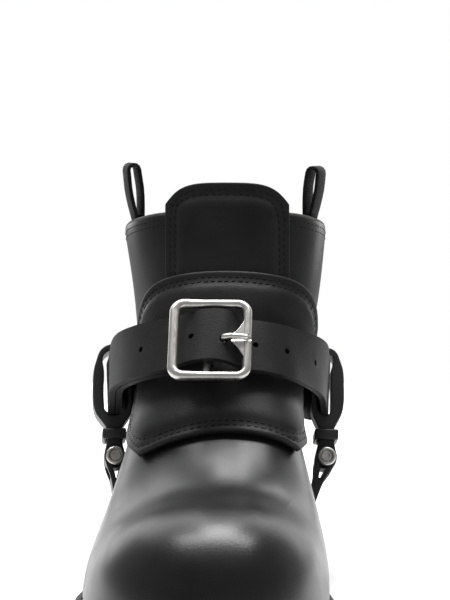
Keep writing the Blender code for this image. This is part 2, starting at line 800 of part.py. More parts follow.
# Buckle
def buckle_matrix():
    """The buckle's frame: a little below the strap's middle, turned on its bar to face straight ahead."""
    origin, along, up, out = buckle_frame()
    bar = Matrix.Translation((0, 0, BAR_HEIGHT * MM))
    turn = bar @ Matrix.Rotation(math.radians(BUCKLE_YAW), 4, "Y") @ bar.inverted()
    return frame_matrix(origin - up * BUCKLE_DROP, along, up, out) @ turn


def rounded_frame():
    """Centre line of the buckle's frame: corners as arcs."""
    points = []
    for corner in range(4):
        middle = math.pi / 2 * corner + math.pi / 4
        sx, sy = (1 if math.cos(middle) > 0 else -1), (1 if math.sin(middle) > 0 else -1)
        cx = sx * (FRAME_WIDTH / 2 - FRAME_CORNER)
        cy = sy * (FRAME_HEIGHT / 2 - FRAME_CORNER)
        for turn in np.linspace(middle - math.pi / 4, middle + math.pi / 4, 5):
            points.append((cx + FRAME_CORNER * math.cos(turn), cy + FRAME_CORNER * math.sin(turn)))
    return points


def make_buckle(steel, parts, cutters):
    """Frame, prong rest and centre bar in one piece."""
    matrix = buckle_matrix()
    data = bpy.data.curves.new("buckle_wire", "CURVE")
    data.dimensions = "3D"
    data.bevel_depth = FRAME_RADIUS * MM
    data.bevel_resolution = 2
    spline = data.splines.new("POLY")
    outline = rounded_frame()
    spline.points.add(len(outline) - 1)
    for point, (x, y) in zip(spline.points, outline):
        point.co = (x * MM, y * MM, FRAME_LEVEL * MM, 1)
        point.radius = 1.18 if x < 0 else 1.0
    spline.use_cyclic_u = True
    wire = add_object("buckle_wire", data, steel, parts, matrix)
    bpy.context.view_layer.update()
    frame = meshed(wire, "buckle_frame", steel, parts)
    inner = FRAME_WIDTH / 2
    rest = [(inner + 0.8, 11.5), (inner - 2.0, 9.0), (inner - 6.1, 2.4), (inner - 6.1, -2.4),
            (inner - 2.0, -9.0), (inner + 0.8, -11.5)]
    rest_matrix = matrix @ Matrix.Translation((0, 0, (FRAME_LEVEL + 0.5) * MM))
    lug = as_cutter(flat_solid("prong_rest", [rest], 1.6, steel, cutters, rest_matrix))
    boolean(frame, lug, "UNION")
    bar = bpy.data.objects.new("centre_bar", rod_mesh("centre_bar", BAR_RADIUS, FRAME_HEIGHT, 12))
    cutters.objects.link(bar)
    bar.matrix_world = matrix @ Matrix.Translation((0, 0, BAR_HEIGHT * MM)) @ Matrix.Rotation(math.pi / 2, 4, "X")
    boolean(frame, as_cutter(bar), "UNION")
    notch = box_between(
        "prong_notch", (inner - 9, -2.0, FRAME_LEVEL + 0.7), (inner + 1.0, 2.0, FRAME_LEVEL + 4), cutters, matrix
    )
    boolean(frame, notch, "DIFFERENCE")
    return frame


def prong_path():
    """Prong's line in the buckle's frame: from the bar, up through the strap, and level onto its rest."""
    rest = FRAME_LEVEL + 0.7 + GAP + PRONG_RADIUS
    end = np.array([FRAME_WIDTH / 2 + 0.6, 0.0, rest])
    root = np.array([BAR_RADIUS + GAP + 0.9, 0.0, BAR_HEIGHT])
    return root, end - np.array([10.0, 0, -0.4]), end


def make_prong(steel, parts):
    """Straight prong from the bar, up through the strap, onto its rest."""
    data = bpy.data.curves.new("buckle_prong_wire", "CURVE")
    data.dimensions = "3D"
    data.bevel_depth = PRONG_RADIUS * MM
    data.bevel_resolution = 2
    data.use_fill_caps = True
    spline = data.splines.new("POLY")
    spline.points.add(2)
    for point, place in zip(spline.points, prong_path()):
        point.co = (*(place * MM), 1)
    wire = add_object("buckle_prong_wire", data, steel, parts, buckle_matrix())
    bpy.context.view_layer.update()
    return meshed(wire, "buckle_prong", steel, parts)


# Side straps and stirrups
Lobe = namedtuple("Lobe", "along half")


def side_frame(side):
    """Place of a side strap on the harness strap: middle, along, up and out."""
    angle = SIDE_ANGLE * side
    base, along, up, out = (value[0] for value in strap_base(angle))
    height = float(strap_height(np.array([angle]))[0])
    return base, along, up, out, height


def bolt_matrix(side):
    """Frame of a side's bolt: local Z along the strap towards the heel, local Y up the side strap."""
    base, along, up, out, height = side_frame(side)
    rear = along * side
    layers = 2 if side == OUTER else 1
    middle = base + out * (stand_off(SIDE_ANGLE) + layers * (STRAP_THICK + 0.4) / 2)
    return frame_matrix(middle - up * BAR_DROP, np.cross(up, rear), up, rear)


def side_lobes(side):
    """Half-breadths of a side strap from the bolt up to its top, wide where the harness strap passes."""
    layers = 2 if side == OUTER else 1
    open_half = layers * (STRAP_THICK + 0.4) / 2 + 2.7 + SIDE_THICK
    eye = BOLT_RADIUS + GAP + SIDE_THICK
    neck = SIDE_THICK + 0.9
    return [
        Lobe(0, eye), Lobe(8, neck), Lobe(14, neck), Lobe(20.5, open_half), Lobe(44, open_half),
        Lobe(47, open_half - 0.8),
    ]


def circle(radius, count=12):
    turn = np.arange(count) * 2 * np.pi / count
    return np.column_stack([radius * np.cos(turn), radius * np.sin(turn)])


def make_side(side, leather, steel, parts, cutters):
    """Side strap round the harness strap, its neck band, the bolt and the stirrup down to the welt."""
    word = "outer" if side == OUTER else "inner"
    matrix = bolt_matrix(side)
    rows = side_lobes(side)
    strap = flat_solid(
        f"side_strap_{word}",
        [lobed(rows, 0, 47, 0, 13), lobed(rows, 17.5, 46, SIDE_THICK), circle(BOLT_RADIUS + GAP)],
        SIDE_WIDTH, leather, parts, matrix)
    neck = SIDE_THICK + 0.9 + GAP
    depth = SIDE_WIDTH / 2 + GAP
    corners = [(neck, depth), (-neck, depth), (-neck, -depth), (neck, -depth)]
    wider = [(x + math.copysign(NECK_THICK, x), y + math.copysign(NECK_THICK, y)) for x, y in corners]
    upright = matrix @ Matrix.Translation((0, 11.0 * MM, 0)) @ Matrix.Rotation(-math.pi / 2, 4, "X")
    flat_solid(f"neck_band_{word}", [wider, corners], NECK_HEIGHT, leather, parts, upright)
    make_bolt(f"bolt_{word}", steel, parts, cutters, matrix)
    make_stirrup(side, word, leather, parts, cutters, matrix)
    return strap


def lathe(name, rows, segments=16):
    """Solid turned about Z from rows of height and radius."""
    mesh = bmesh.new()
    turn = np.arange(segments) * 2 * np.pi / segments
    rings = []
    for z, radius in rows:
        rings.append([mesh.verts.new((radius * math.cos(t) * MM, radius * math.sin(t) * MM, z * MM)) for t in turn])
    for low, high in zip(rings, rings[1:]):
        for i in range(segments):
            j = (i + 1) % segments
            mesh.faces.new((low[i], low[j], high[j], high[i]))
    mesh.faces.new(rings[0])
    mesh.faces.new(rings[-1])
    bmesh.ops.recalc_face_normals(mesh, faces=mesh.faces)
    data = bpy.data.meshes.new(name)
    mesh.to_mesh(data)
    mesh.free()
    data.shade_smooth()
    data.set_sharp_from_angle(angle=math.radians(35))
    return data


def make_bolt(name, steel, parts, cutters, matrix):
    """Slotted bolt through the side strap's eye, with a head at each end."""
    end = STIRRUP_WIDTH / 2 + GAP
    face = end + BOLT_HEAD
    profile = [
        (-face, 0.84 * BOLT_HEAD_RADIUS), (-face + 0.7, BOLT_HEAD_RADIUS), (-end, BOLT_HEAD_RADIUS),
        (-end, BOLT_RADIUS), (end, BOLT_RADIUS), (end, BOLT_HEAD_RADIUS), (face - 0.7, BOLT_HEAD_RADIUS),
        (face, 0.84 * BOLT_HEAD_RADIUS),
    ]
    obj = add_object(name, lathe(name, profile), steel, parts, matrix)
    slot = box_between(f"{name}_slot", (-6, -0.65, -face - 1), (6, 0.65, -face + 0.9), cutters, matrix)
    return boolean(obj, slot, "DIFFERENCE")


def stirrup_foot(side, bolt, up):
    """Where a stirrup that hangs from its bolt stands on the welt, close beside the upper."""
    station = bolt[1]
    for _ in range(4):
        z = float(feather(station)) - GAP
        station = bolt[1] - up[1] / up[2] * (bolt[2] - z)
    wall = 0.0
    for ahead in (-10.0, 0.0, 10.0):
        for rise in (3.0, 12.0):
            start = np.array([[0.0, station + ahead, z + rise]])
            wall = max(wall, abs(cast(start, np.array([[float(side), 0, 0]]))[0][0]))
    return np.array([side * (wall + STIRRUP_THICK + 7 * GAP), station, z])


def make_stirrup(side, word, leather, parts, cutters, matrix):
    """Strap forked over the bolt, its two layers joined below and standing on the welt beside the upper."""
    rear = np.array(matrix.col[2][:3])
    bolt = np.array(matrix.translation) / MM + [ORIGIN_X, ORIGIN_STATION, 0]
    foot = stirrup_foot(side, bolt, np.array(matrix.col[1][:3]))
    up = bolt - foot
    up = up - rear * (up @ rear)
    length = np.linalg.norm(up)
    up = up / length
    frame = frame_matrix(bolt, np.cross(up, rear), up, rear)
    eye, lap = BOLT_RADIUS + GAP, STIRRUP_THICK
    outer = [Lobe(-length - 8, lap), Lobe(-13, lap + 0.1), Lobe(-10, lap + 0.4), Lobe(0, eye + lap)]
    hole = [Lobe(-10, 0.4), Lobe(0, eye)]
    obj = flat_solid(
        f"stirrup_{word}",
        [lobed(outer, -length - 8, 0), lobed(hole, -10, 0)],
        STIRRUP_WIDTH, leather, parts, frame)
    half = SIDE_WIDTH / 2 + GAP
    fork = box_between(f"fork_{word}", (-12, -9.5, -half), (12, 12, half), cutters, frame)
    boolean(obj, fork, "DIFFERENCE")
    rise = float(feather(foot[1] + 1) - feather(foot[1] - 1)) / 2
    along, over = unit(np.array([0, 1, rise])), unit(np.array([0, -rise, 1]))
    ground = frame_matrix(foot, np.array([1.0, 0, 0]), over, -along)
    trim = box_between(f"stirrup_trim_{word}", (-30, -40, -30), (30, 0.6, 30), cutters, ground)
    return boolean(obj, trim, "DIFFERENCE")


def make_pull_loop(side, tape, parts):
    """Tape loop over the collar, both ends inside it."""
    word = "outer" if side == OUTER else "inner"
    station = LOOP_STATIONS[0 if side == OUTER else 1]
    top = LOOP_TOPS[0 if side == OUTER else 1]
    z = float(collar_height(station))
    rim = cast(np.array([[0.0, station, z]]), np.array([[float(side), 0, 0]]))[0]
    lean = unit(normal_at(rim) * [1, 1, 0])
    up = unit(np.array([0.12 * side, 0, 1.0]))
    rear = unit(np.cross(lean, up))
    out = np.cross(up, rear)
    inset = WALL + 4 * GAP + LOOP_THICK
    foot = rim - lean * inset - up * LOOP_TAIL
    rows = [Lobe(0, LOOP_THICK), Lobe(11, LOOP_THICK + 0.1), Lobe(16, 2.6), Lobe(26, 3.6), Lobe(top, 3.4)]
    return flat_solid(
        f"pull_loop_{word}",
        [lobed(rows, LOOP_THICK, top), lobed(rows, 16, top, LOOP_THICK)],
        LOOP_WIDTH, tape, parts, frame_matrix(foot, out, up, rear))


def gather(parts):
    """Hangs every piece on one empty at the boot's origin, each with its own material."""
    boot = bpy.data.objects.new("boot", None)
    for obj in list(parts.objects):
        obj.parent = boot
        material = obj.data.materials[0].copy()
        material.name = f"{obj.name}_{obj.data.materials[0].name}"
        obj.data.materials[0] = material
    parts.objects.link(boot)


def main():
    clear_scene()
    parts, cutters = new_collection("harness_boot"), new_collection("cutters")
    leather = new_material("black_leather", (0.012, 0.012, 0.013), 0.35)
    edge = new_material("sole_leather", (0.016, 0.015, 0.014), 0.5)
    rubber = new_material("heel_rubber", (0.012, 0.012, 0.012), 0.6)
    lining = new_material("insole_leather", (0.03, 0.028, 0.026), 0.7)
    tape = new_material("loop_tape", (0.02, 0.02, 0.02), 0.8)
    steel = new_material("satin_steel", (0.62, 0.61, 0.59), 0.3, 1.0)
    make_upper(leather, parts)
    make_insole(lining, parts)
    make_welt(edge, parts)
    make_outsole(rubber, parts)
    make_heel(rubber, parts)
    make_tongue_panel(leather, parts)
    make_shield(leather, parts)
    make_strap(leather, parts, cutters)
    make_buckle(steel, parts, cutters)
    make_prong(steel, parts)
    for side in (OUTER, INNER):
        make_side(side, leather, steel, parts, cutters)
        make_pull_loop(side, tape, parts)
    gather(parts)


if __name__ == "__main__":
    main()
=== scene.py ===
# %% [markdown]
# # A harness ankle boot in black leather
# This lesson dresses the solid model of a right-foot boot. The solids already have the last's shape, so
# each leather piece starts as a welded copy of its solid, and gets the roundness, seams, stitches, punched
# holes and finish that the solid leaves out. The metal pieces are modelled anew at their real roundness.
# A boot could also be sculpted from one lump, but a bootmaker cuts and joins pieces, and a model made the
# same way keeps every edge and seam where it belongs.

# %% Load the frame and measure it
import math

import bmesh
import bpy
from mathutils import Matrix, Vector
from mathutils.bvhtree import BVHTree
from mathutils.kdtree import KDTree


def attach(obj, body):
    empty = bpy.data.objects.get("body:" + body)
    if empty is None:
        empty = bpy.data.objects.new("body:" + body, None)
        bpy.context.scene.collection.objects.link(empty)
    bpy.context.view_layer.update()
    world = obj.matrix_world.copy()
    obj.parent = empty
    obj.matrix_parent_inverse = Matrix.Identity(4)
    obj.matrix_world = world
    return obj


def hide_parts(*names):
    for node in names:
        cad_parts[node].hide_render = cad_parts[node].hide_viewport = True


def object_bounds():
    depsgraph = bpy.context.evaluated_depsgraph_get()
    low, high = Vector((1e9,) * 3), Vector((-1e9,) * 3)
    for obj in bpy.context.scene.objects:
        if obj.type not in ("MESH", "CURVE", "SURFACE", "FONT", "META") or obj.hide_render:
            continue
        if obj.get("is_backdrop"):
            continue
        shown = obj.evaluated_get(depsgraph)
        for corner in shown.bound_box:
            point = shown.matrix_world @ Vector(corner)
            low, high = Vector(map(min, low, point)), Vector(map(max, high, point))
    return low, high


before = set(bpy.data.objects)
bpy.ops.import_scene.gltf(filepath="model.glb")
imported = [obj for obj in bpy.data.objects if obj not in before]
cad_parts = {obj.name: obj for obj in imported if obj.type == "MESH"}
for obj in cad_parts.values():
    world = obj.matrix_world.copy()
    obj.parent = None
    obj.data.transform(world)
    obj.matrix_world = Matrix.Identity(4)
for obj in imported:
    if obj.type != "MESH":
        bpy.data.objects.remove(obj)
cad_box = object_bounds()
MM = 0.001


def rounded(points):
    return [[round(v, 4) for v in point] for point in points]


print("solid boot, low and high corner:", rounded(cad_box))

# %% [markdown]
# ## Small helpers
# An operator works on whatever is selected, and the loaded solids are all selected. Pieces could be
# selected once and kept so, but each step would then depend on the one before it. So every step first lets
# go of everything and picks its own piece. A finished piece gets its material, rides on the boot's one
# body, and takes the place of its solid.


# %% Pick one piece, apply its modifiers, fit it on the boot
def let_go():
    if bpy.context.mode != "OBJECT":
        bpy.ops.object.mode_set(mode="OBJECT")
    bpy.ops.object.select_all(action="DESELECT")


def pick(piece):
    let_go()
    piece.select_set(True)
    bpy.context.view_layer.objects.active = piece


def apply_modifiers(piece):
    pick(piece)
    for modifier in list(piece.modifiers):
        bpy.ops.object.modifier_apply(modifier=modifier.name)


def fit_on_boot(piece, finish, slot, *nodes):
    """Gives a finished piece its material and its place on the boot."""
    if not piece.data.materials:
        piece.data.materials.append(finish)
    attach(piece, "root")
    if nodes:
        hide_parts(*nodes)
    print(piece.name, "has", len(piece.data.polygons), "faces")


let_go()
print("solids to dress:", ", ".join(sorted(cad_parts)))

# %% [markdown]
# ## From a solid to a leather piece
# On a real boot a piece of leather is cut flat, thinned along its edge, and pulled wet over the last. It
# could be drawn flat here too and shrunk onto a last, but its solid already has that shape. The solid
# arrives as loose triangles. Welding its corners and turning the triangles back into quads gives a cage
# that a Subdivision Surface can round off the way wet leather rounds. A Bevel before it keeps the cut edges
# of a strap where they are, with only a small skived round.

# %% Welded copy, skived edges, smooth skin
WELD = 0.01
FLAT_QUAD, SQUARE_QUAD, EVEN_QUADS = math.radians(50), math.radians(70), 1.2


def cut_leather(node, name):
    """Welded copy of a solid, in quads."""
    piece = bpy.data.objects.new(name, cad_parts[node].data.copy())
    piece.data.materials.clear()
    bpy.context.scene.collection.objects.link(piece)
    pick(piece)
    bpy.ops.mesh.customdata_custom_splitnormals_clear()
    bpy.ops.object.mode_set(mode="EDIT")
    bpy.ops.mesh.select_all(action="SELECT")
    bpy.ops.mesh.remove_doubles(threshold=WELD * MM)
    bpy.ops.mesh.tris_convert_to_quads(
        face_threshold=FLAT_QUAD, shape_threshold=SQUARE_QUAD, topology_influence=EVEN_QUADS
    )
    bpy.ops.object.mode_set(mode="OBJECT")
    return piece


def skive(piece, width, angle=40.0, segments=2):
    """Rounds the edges sharper than an angle, by a bevel of a width in millimetres."""
    bevel = piece.modifiers.new("skived_edge", "BEVEL")
    bevel.width = width * MM
    bevel.segments = segments
    bevel.limit_method = "ANGLE"
    bevel.angle_limit = math.radians(angle)
    bevel.use_clamp_overlap = True
    apply_modifiers(piece)


def round_off(piece, levels):
    """Smooths a cage with a Subdivision Surface."""
    smooth = piece.modifiers.new("rounding", "SUBSURF")
    smooth.levels = levels
    smooth.render_levels = levels
    apply_modifiers(piece)
    bpy.ops.object.shade_smooth()


def crisp_shade(piece, angle=40.0):
    """Shades a piece smooth, except across edges sharper than an angle."""
    pick(piece)
    bpy.ops.object.shade_smooth_by_angle(angle=math.radians(angle))


print("ready to cut", len(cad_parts), "solids, welded within", WELD, "mm")

# %% [markdown]
# ## Finish helpers
# A finish is a small node tree on one Principled shader. Leather, thread, metal and rubber all need the
# same few things: a speckle that breaks up an even shade, a range to map it onto, rubbed edges, and a bump
# for the grain. They could be painted on an unwrapped mesh, but a procedural pattern on Object coordinates
# keeps its real size on every piece and shows no seam.


# %% Start a finish, speckle it and tint it
def new_finish(name, colour, roughness, metallic=0.0):
    finish = bpy.data.materials.new(name)
    finish.use_nodes = True
    shader = finish.node_tree.nodes["Principled BSDF"]
    shader.inputs["Base Color"].default_value = (*colour, 1)
    shader.inputs["Roughness"].default_value = roughness
    shader.inputs["Metallic"].default_value = metallic
    return finish, finish.node_tree, shader


def speckle(tree, scale, detail=3.0, stretch=(1, 1, 1)):
    """Noise on Object coordinates; scale is in repeats a metre."""
    place = tree.nodes.new("ShaderNodeTexCoord")
    turn = tree.nodes.new("ShaderNodeMapping")
    turn.inputs["Scale"].default_value = stretch
    noise = tree.nodes.new("ShaderNodeTexNoise")
    noise.inputs["Scale"].default_value = scale
    noise.inputs["Detail"].default_value = detail
    tree.links.new(place.outputs["Object"], turn.inputs["Vector"])
    tree.links.new(turn.outputs["Vector"], noise.inputs["Vector"])
    return noise.outputs["Fac"]


def spread(tree, source, low, high, start=0.3, end=0.7):
    """Maps the middle of a 0 to 1 value onto a range."""
    ramp = tree.nodes.new("ShaderNodeMapRange")
    ramp.inputs["From Min"].default_value = start
    ramp.inputs["From Max"].default_value = end
    ramp.inputs["To Min"].default_value = low
    ramp.inputs["To Max"].default_value = high
    tree.links.new(source, ramp.inputs["Value"])
    return ramp.outputs["Result"]


def multiply(tree, first, second):
    product = tree.nodes.new("ShaderNodeMath")
    product.operation = "MULTIPLY"
    tree.links.new(first, product.inputs[0])
    tree.links.new(second, product.inputs[1])
    return product.outputs["Value"]


def tint(tree, shader, source, dark, light):
    """Colours the finish between two shades."""
    mix = tree.nodes.new("ShaderNodeMix")
    mix.data_type = "RGBA"
    mix.inputs["A"].default_value = (*dark, 1)
    mix.inputs["B"].default_value = (*light, 1)
    tree.links.new(source, mix.inputs["Factor"])
    tree.links.new(mix.outputs["Result"], shader.inputs["Base Color"])
    return mix.outputs["Result"]


def lighter(shade, gain):
    """The light end of a dyed shade."""
    return tuple(v * gain + 0.004 for v in shade)


print("a finish starts with a speckle, a range and a tint")


# %% Rub the edges, emboss the grain
def wear_edges(tree, shader, under, worn):
    """Shows a rubbed shade along outward edges, broken up by a coarse speckle."""
    shape = tree.nodes.new("ShaderNodeNewGeometry")
    edge = spread(tree, shape.outputs["Pointiness"], 0, 0.7, start=0.53, end=0.62)
    patches = spread(tree, speckle(tree, scale=210, detail=4), 0, 1, start=0.42, end=0.62)
    mix = tree.nodes.new("ShaderNodeMix")
    mix.data_type = "RGBA"
    mix.inputs["B"].default_value = (*worn, 1)
    tree.links.new(multiply(tree, edge, patches), mix.inputs["Factor"])
    tree.links.new(under, mix.inputs["A"])
    tree.links.new(mix.outputs["Result"], shader.inputs["Base Color"])


def emboss(tree, shader, source, depth, strength, under=None):
    """Adds a bump of a depth in millimetres, over another bump if there is one."""
    bump = tree.nodes.new("ShaderNodeBump")
    bump.inputs["Distance"].default_value = depth * MM
    bump.inputs["Strength"].default_value = strength
    tree.links.new(source, bump.inputs["Height"])
    if under:
        tree.links.new(under, bump.inputs["Normal"])
    tree.links.new(bump.outputs["Normal"], shader.inputs["Normal"])
    return bump.outputs["Normal"]


def pores(tree, scale):
    """Cells of a leather grain."""
    place = tree.nodes.new("ShaderNodeTexCoord")
    cells = tree.nodes.new("ShaderNodeTexVoronoi")
    cells.inputs["Scale"].default_value = scale
    tree.links.new(place.outputs["Object"], cells.inputs["Vector"])
    return cells.outputs["Distance"]


print("rubbed edges and an embossed grain can be laid over any finish")

# %% [markdown]
# ## Leathers
# Polished calf is nearly black. What the eye sees of it is gloss over a faint grain of pores, with slow
# waves where the leather is stretched. The belt and the front panels are of duller hides, and the lining is
# charcoal. The side straps' hide is a lighter grey, a painted sheen for the light on their faces and edges.
# One black for all would be quicker, but only the differences in gloss and grain tell one black piece from
# the next. So one function makes every hide, from its shade, its range of roughness, its shine and its grain.

# %% Dye the hides
RUBBED_LEATHER = (0.022, 0.021, 0.020)


def make_leather(name, shade, rough, shine, grain):
    finish, tree, shader = new_finish(name, shade, rough[0])
    shader.inputs["Specular IOR Level"].default_value = shine
    blotches = spread(tree, speckle(tree, scale=38, detail=5), 0, 1)
    dyed = tint(tree, shader, blotches, shade, lighter(shade, 1.9))
    wear_edges(tree, shader, dyed, RUBBED_LEATHER)
    polish = spread(tree, speckle(tree, scale=55, detail=6), *rough)
    tree.links.new(polish, shader.inputs["Roughness"])
    waves = emboss(tree, shader, speckle(tree, scale=24, detail=2), 1.2, 0.16)
    cells = emboss(tree, shader, pores(tree, scale=1150), 0.12, grain, waves)
    emboss(tree, shader, speckle(tree, scale=2600, detail=2), 0.06, grain, cells)
    return finish


polished_calf = make_leather(
    "polished_black_calf", (0.0026, 0.0026, 0.0028), rough=(0.27, 0.36), shine=0.30, grain=0.2
)
belt_hide = make_leather(
    "dull_black_belt_hide", (0.0042, 0.0042, 0.0044), rough=(0.45, 0.55), shine=0.18, grain=0.42
)
# The side straps' lighter shade is a painted sheen, standing in for the light on their faces and edges.
side_hide_with_painted_sheen = make_leather(
    "side_strap_hide_painted_sheen", (0.011, 0.011, 0.0112), rough=(0.40, 0.5), shine=0.34, grain=0.42
)
panel_hide = make_leather(
    "soft_black_panel_hide", (0.0032, 0.0032, 0.0034), rough=(0.40, 0.5), shine=0.24, grain=0.36
)
lining_hide = make_leather(
    "charcoal_lining_hide", (0.016, 0.015, 0.014), rough=(0.55, 0.72), shine=0.3, grain=0.4
)
hides = (polished_calf, belt_hide, side_hide_with_painted_sheen, panel_hide, lining_hide)
print("hides:", ", ".join(hide.name for hide in hides))

# %% [markdown]
# ## Thread and tape
# The seams are sewn with waxed thread, matt and black, and the pull loops are a woven tape. Each strand
# could be modelled, but at this size the twist and the weave are finer than a stitch, so a stretched
# speckle and two crossed waves in the bump are enough.


# %% Twist the thread, weave the tape
def make_thread():
    finish, tree, shader = new_finish("waxed_black_thread", (0.003, 0.003, 0.003), 0.6)
    shader.inputs["Specular IOR Level"].default_value = 0.12
    twist = speckle(tree, scale=1800, detail=2, stretch=(1, 1, 3))
    tint(tree, shader, spread(tree, twist, 0, 1), (0.0015, 0.0015, 0.0015), (0.005, 0.005, 0.005))
    emboss(tree, shader, twist, 0.1, 0.4)
    return finish


def bands(tree, direction, scale, distortion):
    """Even bands along one direction on Object coordinates."""
    place = tree.nodes.new("ShaderNodeTexCoord")
    wave = tree.nodes.new("ShaderNodeTexWave")
    wave.bands_direction = direction
    wave.inputs["Scale"].default_value = scale
    wave.inputs["Distortion"].default_value = distortion
    tree.links.new(place.outputs["Object"], wave.inputs["Vector"])
    return wave


def make_tape():
    """Woven tape: fine ribs across and along."""
    finish, tree, shader = new_finish("woven_black_tape", (0.012, 0.012, 0.013), 0.78)
    shader.inputs["Sheen Weight"].default_value = 0.06
    shader.inputs["Specular IOR Level"].default_value = 0.15
    ribs = [bands(tree, "Z", 420, 1.2), bands(tree, "Y", 300, 1.2)]
    for rib in ribs:
        rib.inputs["Detail"].default_value = 1.0
    weave = multiply(tree, *(rib.outputs["Fac"] for rib in ribs))
    tint(tree, shader, weave, (0.003, 0.003, 0.0032), (0.011, 0.011, 0.0115))
    emboss(tree, shader, weave, 0.3, 0.7)
    return finish


black_thread = make_thread()
black_tape = make_tape()
print("sewing finishes:", black_thread.name, "and", black_tape.name)

# %% [markdown]
# ## Nickel
# The buckle and the bolts are nickel with a satin polish, a little darker in patches from handling. A
# mirror finish would show the lights as hard spots. A finely brushed roughness spreads them into the soft
# bands that satin metal has, and a very weak bump keeps it from looking like plastic.


# %% Polish the nickel
def make_nickel():
    finish, tree, shader = new_finish("satin_nickel", (0.5, 0.49, 0.47), 0.3, 1.0)
    brushed = speckle(tree, scale=700, detail=4, stretch=(1, 0.2, 1))
    handled = spread(tree, speckle(tree, scale=160, detail=4), 0, 1)
    tint(tree, shader, handled, (0.47, 0.46, 0.44), (0.56, 0.55, 0.53))
    tree.links.new(spread(tree, brushed, 0.28, 0.38), shader.inputs["Roughness"])
    emboss(tree, shader, brushed, 0.02, 0.12)
    return finish


satin_nickel = make_nickel()
print("metal finish:", satin_nickel.name)

# %% [markdown]
# ## Welt, sole and heel edges
# The edges of the bottom are trimmed, inked and waxed, and faint lines show where one layer meets the
# next. The layers could be modelled one by one, but the ink nearly closes them, so level bands in the bump
# do. The scale of the bands sets how thick a layer looks.

# %% Dress the edges of the bottom
RUBBED_EDGE = (0.035, 0.033, 0.031)


def make_edge_dressing(name, shade, layers, rough):
    """Dressed leather or rubber edge, with faint lines between its layers."""
    finish, tree, shader = new_finish(name, shade, rough)
    lines = bands(tree, "Z", layers, 0.35)
    blotches = spread(tree, speckle(tree, scale=90, detail=6), 0, 1)
    dyed = tint(tree, shader, blotches, shade, lighter(shade, 2.2))
    wear_edges(tree, shader, dyed, RUBBED_EDGE)
    polish = spread(tree, speckle(tree, scale=130, detail=4), rough - 0.08, rough + 0.1)
    tree.links.new(polish, shader.inputs["Roughness"])
    layer = emboss(tree, shader, lines.outputs["Fac"], 0.3, 0.25)
    emboss(tree, shader, speckle(tree, scale=900, detail=3), 0.12, 0.5, layer)
    return finish


welt_edge = make_edge_dressing("dressed_black_welt", (0.010, 0.0095, 0.009), layers=90, rough=0.42)
sole_rubber = make_edge_dressing("black_sole_rubber", (0.013, 0.013, 0.0135), layers=40, rough=0.58)
heel_stack = make_edge_dressing("dressed_black_heel_stack", (0.011, 0.0105, 0.010), layers=55, rough=0.46)
print("edge finishes:", ", ".join(edge.name for edge in (welt_edge, sole_rubber, heel_stack)))

# %% [markdown]
# ## Skins and their edges
# A leather piece has an outer skin, a cut edge and an inner side, and its seams follow the cut edge. The
# skin could be picked by hand in edit mode, but code can find it: starting from one outer face, it walks
# to every neighbour without crossing a sharp edge. The border of what it found is the cut edge, in order,
# with the direction that points into the leather.


# %% Find one side of a leather piece and its edge
def skin_from(cage, seed, sharp=48.0):
    """Faces that join the seed face without crossing an edge sharper than an angle."""
    limit = math.radians(sharp)
    found, queue = {seed}, [seed]
    while queue:
        face = queue.pop()
        for edge in face.edges:
            for other in edge.link_faces:
                if other not in found and face.normal.angle(other.normal, 0) < limit:
                    found.add(other)
                    queue.append(other)
    return found


def edge_loops(faces):
    """Ordered border loops of a set of faces, as points with the skin's normal and inward direction."""
    border = {}
    # A set has no order of its own. Sorting makes every seam start at the same place in each run.
    for face in sorted(faces, key=lambda face: face.index):
        for loop in face.loops:
            others = [other for other in loop.edge.link_faces if other is not face]
            if not others or others[0] not in faces:
                border[loop.vert] = (loop.link_loop_next.vert, face)
    loops = []
    while border:
        vert = next(iter(border))
        chain = []
        while vert in border:
            after, face = border.pop(vert)
            along = (after.co - vert.co).normalized()
            inward = face.normal.cross(along).normalized()
            chain.append((vert.co.copy(), face.normal.copy(), inward))
            vert = after
        loops.append(chain)
    return loops


def length_of(chain):
    points = [spot[0] for spot in chain]
    return sum((a - b).length for a, b in zip(points, points[1:]))


def mean_height(chain):
    return sum(spot[0].z for spot in chain) / len(chain)


print("a skin is walked from a seed face, and its edge comes back in order")

# %% [markdown]
# ## The upper
# The upper is one skin of calf, pulled over the last and lined inside. Two shells could be made, one inside
# the other, but the wall is thin and closed, so one mesh carries both: faces that can be reached from the
# outside without crossing a cut edge are calf, and the rest are lining.

# %% Cut the upper and line it
upper = cut_leather("upper", "boot_upper")
cage = bmesh.new()
cage.from_mesh(upper.data)
cage.faces.ensure_lookup_table()
outermost = min(cage.faces, key=lambda face: face.calc_center_median().x)
calf_skin = skin_from(cage, outermost)
collar_edge = max(edge_loops(calf_skin), key=mean_height)
lining = [face.index for face in cage.faces if face not in calf_skin]
cage.free()
upper.data.materials.append(polished_calf)
upper.data.materials.append(lining_hide)
for index in lining:
    upper.data.polygons[index].material_index = 1
print("lining faces:", len(lining), "- collar edge:", round(length_of(collar_edge) / MM), "mm round")

# %% [markdown]
# ## Lasting the vamp
# Lasting pulls the calf so tight over the toe that its gloss runs in unbroken bands. Two levels of
# subdivision round the cage off, but the rows of the cage would still show in the gloss of the vamp. More
# levels would keep those rows, so the vamp's own vertices are relaxed instead, and the shaft is left alone.

